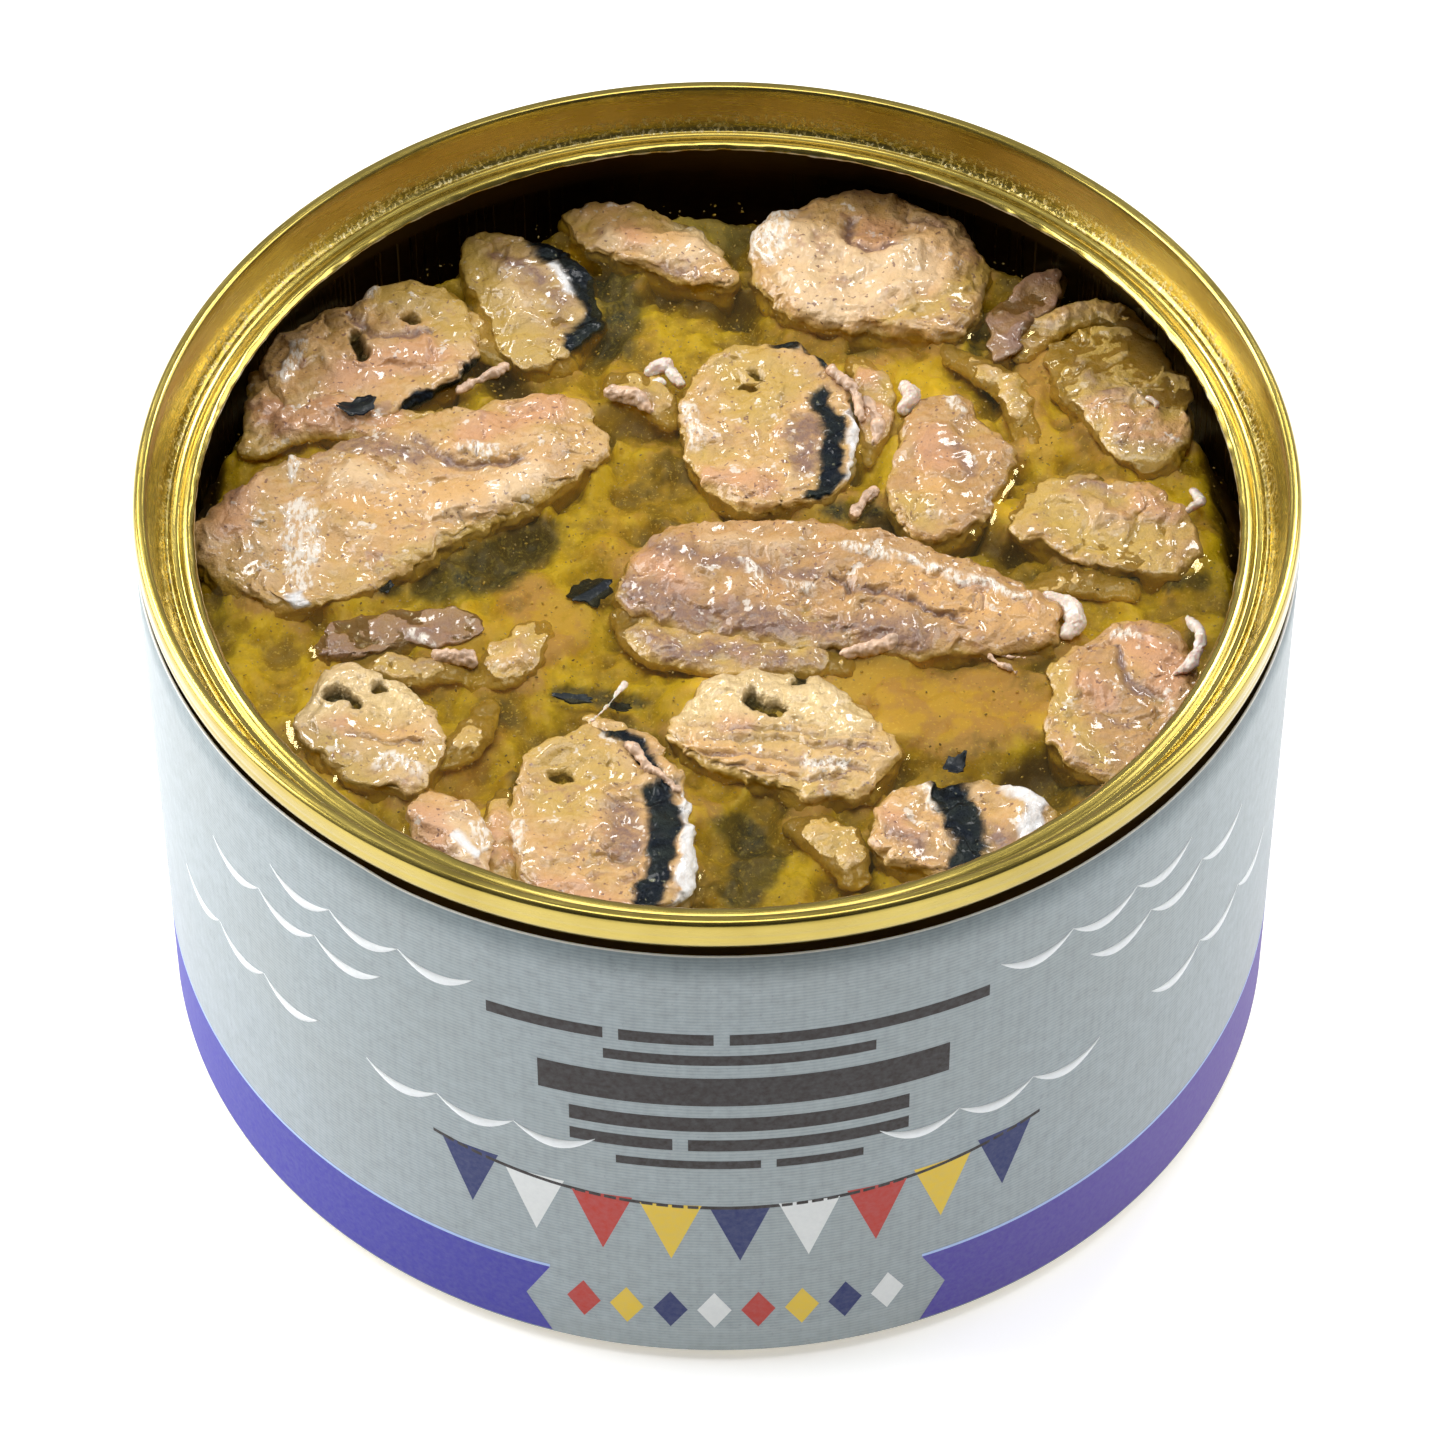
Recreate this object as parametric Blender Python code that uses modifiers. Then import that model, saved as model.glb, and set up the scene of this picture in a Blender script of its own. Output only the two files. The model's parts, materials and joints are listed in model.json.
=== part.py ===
"""Opened round fish tin: a necked can, the end ring left by the opener, a paper label,
pieces of sardine and the oil around them. Metres, +Z up, origin at the middle of the base."""

import math
from collections import namedtuple

import bmesh
import bpy
from mathutils import Vector, noise

MM = 0.001

# Driving dimensions of the tin, in millimetres
TIN_HEIGHT = 51.5
SEAM_RADIUS = 43.35
SEAM_HEIGHT = 2.8
BODY_RADIUS = 42.95
NECK_RADIUS = 42.2
NECK_START = 45.6
WALL = 0.3
MOUTH_RADIUS = 38.84
LEDGE_DEPTH = 3.2
PANEL_LIFT = 1.2
FOOT_ROUND = 0.8
LABEL_RADIUS = 43.45
LABEL_THICKNESS = 0.25
LABEL_FOOT = 1.3
LABEL_TOP = 47.9
OIL_LEVEL = 42.0
GAP = 0.3
ROUND_STEPS = 72

# How the label's upper edge runs: it rises to the seam at the side and dips at the front
LABEL_STEP_AZIMUTH = -124.0
LABEL_STEP_HEIGHT = 0.55
LABEL_STEP_WIDTH = 5.0

# How a piece of fish is built: sides round its outline, its depth in the oil, its clearance
PIECE_SIDES = 20
PIECE_LAYERS = 9
PIECE_DEPTH = 14.0
PIECE_CLEARANCE = 0.45
PIECE_LIMIT_RADIUS = 41.5
WATERLINE_LIP = 0.25
OUTLINE_RIPPLE = 0.1
CRAG_SPAN = 3.2
# Each layer, bottom to top: its share of the outline, and its share of the height above the oil
LAYER_REACH = (0.0, 0.88, 1.0, 1.0, 0.97, 0.88, 0.7, 0.46, 0.22, 0.0)
LAYER_RISE = (0.0, 0.0, 0.0, 0.0, 0.55, 0.86, 0.97, 1.0, 1.0, 1.0)
FIRST_DRY_LAYER = 4

# A piece of fish, in millimetres and degrees. at: its middle; top: the height of its upper face;
# size: length and width; turn: of its length from +X; corner: 2 is an ellipse, more is squarer;
# taper: how much wider its far end is; bow: sideways bend; lean: fall of the top across its
# width; crag: height of its surface relief; knobs: (x, y, radius, height) of lumps on it
Piece = namedtuple("Piece", "name at top size turn corner taper bow lean crag skin knobs")
PIECES = (
    Piece("steak_back", (12.1, 31.0), 44.6, (18.8, 15.4), -14, 2.3, -0.05, 0.6, 0.1, 0.3, "flesh",
          ((5.5, 33.5, 2.2, 0.4),)),
    Piece("flake_back", (-5.2, 34.0), 44.0, (15.5, 6.2), -30, 2.2, -0.18, 0.5, 0.2, 0.3, "flesh", ()),
    Piece("steak_half_sunk", (-14.8, 28.2), 43.1, (15.6, 9.6), -68, 2.3, 0.0, 0.8, 0.3, 0.25, "skin",
          ((-12.5, 30.5, 2.4, 0.8),)),
    Piece("steak_left", (-26.6, 21.6), 43.9, (18.0, 13.2), 38, 2.5, -0.05, 0.0, 0.1, 0.45, "flesh",
          ((-31.0, 19.0, 2.2, 0.5), (-25.0, 27.5, 2.4, 0.4))),
    Piece("fillet_left", (-23.7, 6.9), 44.1, (34.0, 13.4), 29, 2.8, -0.22, 0.2, 0.0, 0.6, "flesh",
          ((-22.0, 11.5, 3.4, 0.5), (-33.0, 9.0, 3.0, 0.4))),
    Piece("steak_middle", (4.0, 14.2), 43.9, (18.6, 13.4), 96, 2.4, -0.04, 0.0, 0.0, 0.3, "flesh",
          ((-0.5, 12.0, 2.0, 0.3),)),
    Piece("steak_oval", (17.2, 9.4), 43.7, (16.2, 9.0), 84, 1.9, 0.06, -0.4, 0.0, 0.3, "flesh",
          ((17.0, 11.8, 2.0, 0.7),)),
    Piece("steak_right", (29.6, 3.6), 42.9, (14.6, 9.6), -22, 2.1, -0.05, 0.6, 0.1, 0.25, "flesh",
          ((31.5, 5.6, 2.6, 0.7),)),
    Piece("flesh_right_back", (31.2, 17.4), 42.55, (16.6, 9.6), -66, 2.2, -0.1, 0.8, 0.0, 0.2, "sunk",
          ((31.8, 14.0, 2.8, 0.9),)),
    Piece("fin_scrap", (23.9, 26.2), 43.2, (11.6, 3.8), 62, 2.0, 0.1, 0.5, 0.2, 0.35, "dark", ()),
    Piece("steak_lower_right", (30.1, -14.4), 43.9, (16.4, 11.8), 80, 2.2, 0.0, 0.0, 0.2, 0.35, "flesh",
          ((31.8, -9.6, 3.0, 1.1), (27.6, -12.2, 2.0, 0.6))),
    Piece("fillet_middle", (9.4, -4.0), 44.6, (33.6, 11.6), -9, 2.4, -0.26, 0.6, -1.1, 0.6, "flesh",
          ((-3.0, -1.0, 3.0, 0.4), (6.0, -1.0, 3.0, 0.3))),
    Piece("fillet_silver", (5.1, -17.7), 43.7, (16.6, 11.2), -20, 2.4, 0.0, 0.4, 0.1, 0.25, "silver",
          ((0.5, -13.6, 3.0, 0.3),)),
    Piece("steak_front", (-8.5, -26.5), 44.2, (19.2, 13.8), -83, 2.5, 0.08, 0.0, 0.0, 0.45, "flesh",
          ((-13.6, -22.0, 2.2, 0.5),)),
    Piece("knob_front_left", (-19.4, -27.4), 44.3, (8.6, 4.8), -62, 2.1, 0.1, 0.3, 0.0, 0.6, "flesh",
          ((-18.9, -24.8, 1.6, 0.6), (-18.2, -28.4, 1.8, 0.5))),
    Piece("fillet_silver_left", (-25.4, -17.0), 43.4, (13.0, 9.4), -52, 2.3, -0.05, 0.0, 0.0, 0.25, "silver",
          ((-27.0, -14.6, 2.6, 0.3),)),
    Piece("strip_left", (-23.8, -7.3), 43.0, (13.4, 4.2), 12, 2.2, 0.1, 0.4, 0.1, 0.3, "dark", ()),
    Piece("chunk_front_right", (17.8, -26.9), 43.9, (14.0, 9.8), -8, 2.5, 0.05, 0.0, 0.1, 0.4, "flesh",
          ((13.0, -24.0, 2.4, 0.5), (22.0, -24.6, 1.8, 0.4))),
)

# Colour, roughness and metallic value of each finish
FINISHES = {
    "gold_lacquer": ((0.60, 0.43, 0.13), 0.22, 1.0),
    "label_paper": ((0.36, 0.44, 0.46), 0.42, 0.0),
    "fish_oil": ((0.34, 0.22, 0.02), 0.08, 0.0),
    "flesh": ((0.66, 0.42, 0.26), 0.38, 0.0),
    "skin": ((0.16, 0.15, 0.13), 0.30, 0.0),
    "sunk": ((0.40, 0.25, 0.07), 0.35, 0.0),
    "dark": ((0.27, 0.15, 0.09), 0.40, 0.0),
    "silver": ((0.62, 0.50, 0.34), 0.28, 0.0),
}


def clear_scene():
    for obj in list(bpy.data.objects):
        bpy.data.objects.remove(obj, do_unlink=True)


def new_collection(name):
    group = bpy.data.collections.new(name)
    bpy.context.scene.collection.children.link(group)
    return group


def finish(name):
    """The material of a named finish, made once."""
    if name in bpy.data.materials:
        return bpy.data.materials[name]
    colour, roughness, metallic = FINISHES[name]
    made = bpy.data.materials.new(name)
    made.use_nodes = True
    shader = made.node_tree.nodes["Principled BSDF"]
    shader.inputs["Base Color"].default_value = (*colour, 1.0)
    shader.inputs["Roughness"].default_value = roughness
    shader.inputs["Metallic"].default_value = metallic
    made.diffuse_color = (*colour, 1.0)
    return made


def add_object(name, mesh, group, material_name=None):
    obj = bpy.data.objects.new(name, mesh)
    group.objects.link(obj)
    if material_name:
        mesh.materials.append(finish(material_name))
    return obj


def turned(name, profile, closed, group, material_name):
    """A profile in the XZ plane, in millimetres, turned once round Z."""
    mesh = bpy.data.meshes.new(name)
    points = [(r * MM, 0.0, z * MM) for r, z in profile]
    edges = [(i, i + 1) for i in range(len(points) - 1)]
    if closed:
        edges.append((len(points) - 1, 0))
    mesh.from_pydata(points, edges, [])
    obj = add_object(name, mesh, group, material_name)
    screw = obj.modifiers.new("turned profile", "SCREW")
    screw.axis = "Z"
    screw.angle = math.tau
    screw.steps = ROUND_STEPS
    screw.render_steps = ROUND_STEPS
    screw.use_merge_vertices = True
    screw.merge_threshold = 0.00001
    screw.use_smooth_shade = True
    return obj


def arc(centre, radius, start, end, count):
    """Points on an arc in the XZ plane, angles in degrees from +X towards +Z."""
    angles = [math.radians(start + (end - start) * i / (count - 1)) for i in range(count)]
    return [(centre[0] + radius * math.cos(a), centre[1] + radius * math.sin(a)) for a in angles]


def make_can_body(group):
    """A drawn can: raised base panel, rounded foot, straight wall and a narrower neck."""
    neck_top = TIN_HEIGHT - SEAM_HEIGHT - GAP
    neck_end = NECK_START + 1.9
    foot_centre = BODY_RADIUS - FOOT_ROUND
    panel_edge = foot_centre - 2.2
    inner_radius = BODY_RADIUS - WALL
    inside = [
        (0.0, PANEL_LIFT + WALL),
        (panel_edge - 0.2, PANEL_LIFT + WALL),
        (panel_edge + 0.9, WALL),
        (foot_centre, WALL),
        (inner_radius, FOOT_ROUND),
        (inner_radius, NECK_START),
        (NECK_RADIUS - WALL, neck_end),
        (NECK_RADIUS - WALL, neck_top),
    ]
    outside = [(NECK_RADIUS, neck_top), (NECK_RADIUS, neck_end), (BODY_RADIUS, NECK_START)]
    outside += arc((foot_centre, FOOT_ROUND), FOOT_ROUND, 0.0, -90.0, 4)
    outside += [(panel_edge + 0.8, 0.0), (panel_edge - 0.4, PANEL_LIFT), (0.0, PANEL_LIFT)]
    return turned("can_body", inside + outside, False, group, "gold_lacquer")


def make_end_ring(group):
    """What the opener leaves of the lid: rolled seam, sloping wall, groove, ledge and cut edge."""
    seam_foot = TIN_HEIGHT - SEAM_HEIGHT
    ledge = TIN_HEIGHT - LEDGE_DEPTH
    seam_inner = SEAM_RADIUS - 0.85
    seam_face = [
        (seam_inner + 0.45, TIN_HEIGHT),
        (SEAM_RADIUS - 0.12, TIN_HEIGHT - 0.2),
        (SEAM_RADIUS, TIN_HEIGHT - 0.6),
        (SEAM_RADIUS, seam_foot + 0.7),
        (SEAM_RADIUS - 0.3, seam_foot),
        (NECK_RADIUS + 0.1, seam_foot),
    ]
    underside = [
        (41.75, seam_foot + 0.1),
        (41.4, ledge - 0.45),
        (40.95, ledge - 0.65),
        (40.5, ledge - 0.25),
        (MOUTH_RADIUS + 0.25, ledge - 0.3),
        (MOUTH_RADIUS, ledge - 0.4),
    ]
    upper_face = [
        (MOUTH_RADIUS, ledge - 0.22),
        (MOUTH_RADIUS + 0.5, ledge),
        (MOUTH_RADIUS + 0.95, ledge - 0.08),
        (40.55, ledge + 0.05),
        (40.95, ledge - 0.35),
        (41.3, ledge),
        (seam_inner - 0.1, TIN_HEIGHT - 0.45),
        (seam_inner + 0.1, TIN_HEIGHT - 0.1),
    ]
    return turned("end_ring", seam_face + underside + upper_face, True, group, "gold_lacquer")


def label_top(azimuth):
    """Height of the label's upper edge in millimetres, at an azimuth in radians."""
    from_step = math.degrees(azimuth) - LABEL_STEP_AZIMUTH
    step = LABEL_STEP_HEIGHT / (1.0 + math.exp(from_step / LABEL_STEP_WIDTH * 4.0))
    rise = step if from_step > -50.0 else LABEL_STEP_HEIGHT
    return LABEL_TOP + rise * 0.8 + 0.12 * math.sin(3.0 * azimuth + 0.6)


def make_label(group):
    """The paper sleeve round the can, an open tube with a wall, its upper edge uneven."""
    mesh = bpy.data.meshes.new("label")
    bm = bmesh.new()
    bmesh.ops.create_cone(bm, cap_ends=False, segments=ROUND_STEPS, radius1=LABEL_RADIUS * MM,
                          radius2=LABEL_RADIUS * MM, depth=2.0 * MM)
    for vert in bm.verts:
        azimuth = math.atan2(vert.co.y, vert.co.x)
        vert.co.z = (label_top(azimuth) if vert.co.z > 0 else LABEL_FOOT) * MM
    bm.to_mesh(mesh)
    bm.free()
    obj = add_object("label", mesh, group, "label_paper")
    wall = obj.modifiers.new("paper", "SOLIDIFY")
    wall.thickness = LABEL_THICKNESS * MM
    wall.offset = -1.0
    return obj


def outline_point(piece, azimuth, reach, grow=0.0):
    """A point of a piece's plan in millimetres: azimuth round it, and share of its outline."""
    half_length = piece.size[0] / 2.0 + grow
    half_width = piece.size[1] / 2.0 + grow
    power = 2.0 / piece.corner
    cosine = math.cos(azimuth)
    sine = math.sin(azimuth)
    x = math.copysign(abs(cosine) ** power, cosine)
    y = math.copysign(abs(sine) ** power, sine)
    seed = Vector((piece.at[0], piece.at[1], 0.0))
    ripple = 1.0 + OUTLINE_RIPPLE * noise.noise(Vector((cosine, sine, 0.0)) * 1.9 + seed)
    ripple += 0.5 * OUTLINE_RIPPLE * noise.noise(Vector((cosine, sine, 0.7)) * 4.3 + seed)
    along = x * ripple * reach
    across = y * ripple * reach * (1.0 + piece.taper * along)
    local_x = along * half_length
    local_y = across * half_width + piece.bow * (1.0 - 2.0 * along * along)
    turn = math.radians(piece.turn)
    plan_x = piece.at[0] + local_x * math.cos(turn) - local_y * math.sin(turn)
    plan_y = piece.at[1] + local_x * math.sin(turn) + local_y * math.cos(turn)
    radius = math.hypot(plan_x, plan_y)
    limit = PIECE_LIMIT_RADIUS + grow
    if radius > limit:
        plan_x *= limit / radius
        plan_y *= limit / radius
    return plan_x, plan_y, across


def relief(piece, x, y):
    """Height of a piece's crags and lumps in millimetres at a point of its plan."""
    place = Vector((x, y, piece.at[0])) / CRAG_SPAN
    height = piece.crag * (noise.noise(place) + 0.6 * noise.noise(place * 2.1))
    for knob_x, knob_y, radius, lift in piece.knobs:
        away = ((x - knob_x) ** 2 + (y - knob_y) ** 2) / radius ** 2
        height += lift * math.exp(-1.5 * away)
    return height


def make_piece(piece, group):
    """A piece of fish: a ball whose rings are drawn out to the piece's outline and heights."""
    mesh = bpy.data.meshes.new(piece.name)
    bm = bmesh.new()
    bmesh.ops.create_uvsphere(bm, u_segments=PIECE_SIDES, v_segments=PIECE_LAYERS, radius=1.0)
    waterline = OIL_LEVEL + WATERLINE_LIP
    foot = OIL_LEVEL - PIECE_DEPTH
    for vert in bm.verts:
        latitude = math.asin(max(-1.0, min(1.0, vert.co.z)))
        layer = round((latitude / math.pi + 0.5) * PIECE_LAYERS)
        azimuth = math.atan2(vert.co.y, vert.co.x)
        x, y, across = outline_point(piece, azimuth, LAYER_REACH[layer])
        if layer < FIRST_DRY_LAYER:
            z = (foot, foot, foot + 1.5, waterline)[layer]
        else:
            rise = LAYER_RISE[layer]
            z = waterline + rise * (piece.top - waterline + relief(piece, x, y) - piece.lean * across)
            z = max(z, waterline + 0.1 * rise)
        vert.co = Vector((x, y, z)) * MM
    bm.to_mesh(mesh)
    bm.free()
    mesh.shade_smooth()
    return add_object(piece.name, mesh, group, piece.skin)


def make_pocket(piece, group):
    """The cutter that clears the oil round a piece: its outline with a gap, straight down."""
    name = "pocket_" + piece.name
    mesh = bpy.data.meshes.new(name)
    bm = bmesh.new()
    bmesh.ops.create_cone(bm, cap_ends=True, cap_tris=False, segments=PIECE_SIDES,
                          radius1=1.0, radius2=1.0, depth=2.0)
    for vert in bm.verts:
        azimuth = math.atan2(vert.co.y, vert.co.x)
        x, y, _ = outline_point(piece, azimuth, 1.0, PIECE_CLEARANCE)
        z = OIL_LEVEL + 5.0 if vert.co.z > 0 else OIL_LEVEL - PIECE_DEPTH - GAP
        vert.co = Vector((x, y, z)) * MM
    bm.to_mesh(mesh)
    bm.free()
    cutter = add_object(name, mesh, group)
    cutter.hide_render = True
    cutter.display_type = "WIRE"
    return cutter


def make_oil(group, cutters):
    """The oil, filled to its level and cut round every piece that stands out of it."""
    floor = PANEL_LIFT + WALL + GAP
    mesh = bpy.data.meshes.new("oil")
    bm = bmesh.new()
    radius = (BODY_RADIUS - WALL - GAP) * MM
    bmesh.ops.create_cone(bm, cap_ends=True, cap_tris=False, segments=ROUND_STEPS,
                          radius1=radius, radius2=radius, depth=(OIL_LEVEL - floor) * MM)
    bmesh.ops.translate(bm, verts=bm.verts, vec=(0.0, 0.0, (OIL_LEVEL + floor) / 2.0 * MM))
    bm.to_mesh(mesh)
    bm.free()
    oil = add_object("oil", mesh, group, "fish_oil")
    cut = oil.modifiers.new("pieces", "BOOLEAN")
    cut.operation = "DIFFERENCE"
    cut.operand_type = "COLLECTION"
    cut.collection = cutters
    cut.solver = "EXACT"
    return oil


def main():
    clear_scene()
    tin = new_collection("sardine_tin")
    cutters = new_collection("cutters")
    make_can_body(tin)
    make_end_ring(tin)
    make_label(tin)
    for piece in PIECES:
        make_piece(piece, tin)
        make_pocket(piece, cutters)
    make_oil(tin, cutters)


main()
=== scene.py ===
"""Looks of an opened round fish tin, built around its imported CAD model. Laid out as an add-on."""

import itertools
import json
import math

import bmesh
import bpy
import numpy as np
from mathutils import Matrix, Vector
from mathutils.kdtree import KDTree

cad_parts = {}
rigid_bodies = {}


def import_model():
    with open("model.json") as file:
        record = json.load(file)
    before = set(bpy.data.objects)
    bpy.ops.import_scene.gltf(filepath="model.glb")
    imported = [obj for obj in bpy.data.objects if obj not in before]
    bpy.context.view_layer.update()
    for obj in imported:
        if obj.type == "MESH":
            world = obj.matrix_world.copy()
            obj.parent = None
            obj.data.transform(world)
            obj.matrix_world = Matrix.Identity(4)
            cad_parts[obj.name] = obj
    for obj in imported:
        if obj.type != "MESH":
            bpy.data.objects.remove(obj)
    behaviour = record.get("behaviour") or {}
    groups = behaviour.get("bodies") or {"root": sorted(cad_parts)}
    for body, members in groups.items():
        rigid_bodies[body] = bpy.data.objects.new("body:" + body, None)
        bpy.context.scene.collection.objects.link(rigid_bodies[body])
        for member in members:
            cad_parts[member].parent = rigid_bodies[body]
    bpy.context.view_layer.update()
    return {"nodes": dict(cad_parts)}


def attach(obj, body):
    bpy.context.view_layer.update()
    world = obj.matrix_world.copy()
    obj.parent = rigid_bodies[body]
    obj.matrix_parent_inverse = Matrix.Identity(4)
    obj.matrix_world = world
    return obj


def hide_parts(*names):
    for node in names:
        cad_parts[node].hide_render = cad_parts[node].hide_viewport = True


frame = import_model()

bl_info = {
    "name": "Opened Fish Tin",
    "version": (1, 0, 0),
    "blender": (4, 5, 0),
    "location": "3D View > Sidebar > Fish Tin",
    "description": "Builds the finished look of an opened round tin of sardine pieces in oil",
    "category": "Object",
}

MM = 0.001
OIL_LEVEL = 42.0
WALL_RADIUS = 42.65
TIN_TOP = 51.5
# Marks on the food are placed in a plan at this height, seen along the slope of the sight line
PLAN_HEIGHT = 42.8
SIGHT_SLOPE = 0.887

# The camera fitted to the photograph: degrees, and metres from the middle of the tin's base
CAMERA_ELEVATION = 48.431
CAMERA_ROLL = -0.1845
CAMERA_PLACE = (0.000146, -0.313672, 0.377802)

FISH_SLOTS = {
    "steak_back": "flesh", "flake_back": "flesh", "steak_half_sunk": "skin", "steak_left": "flesh",
    "fillet_left": "flesh", "steak_middle": "flesh", "steak_oval": "flesh", "steak_right": "flesh",
    "flesh_right_back": "sunk", "fin_scrap": "dark", "steak_lower_right": "flesh",
    "fillet_middle": "flesh", "fillet_silver": "silver", "steak_front": "flesh",
    "knob_front_left": "flesh", "fillet_silver_left": "silver", "strip_left": "dark",
    "chunk_front_right": "flesh",
}

# The tissues a mark can be: the attribute and channel that hold it, and how far it lifts the flesh. Pits are
# sunk and painted near-black as painted shade.
TISSUES = {
    "skin": ("tissue", 0, -0.06), "fat": ("tissue", 1, 0.16), "brown": ("tissue", 2, -0.03),
    "silver": ("finish", 0, 0.02), "pink": ("finish", 1, 0.12), "soak": ("finish", 2, -0.10),
    "pit": ("relief", 2, -0.95), "fold": ("tissue", 2, -0.35), "amber": ("soft", 0, 0.05),
    # The deep mark sinks the heap and paints it dark brown as painted shade between the pieces
    "pale": ("soft", 1, 0.5), "deep": ("soft", 2, -0.8), "white": ("soft", 2, 0.08),
}

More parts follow.
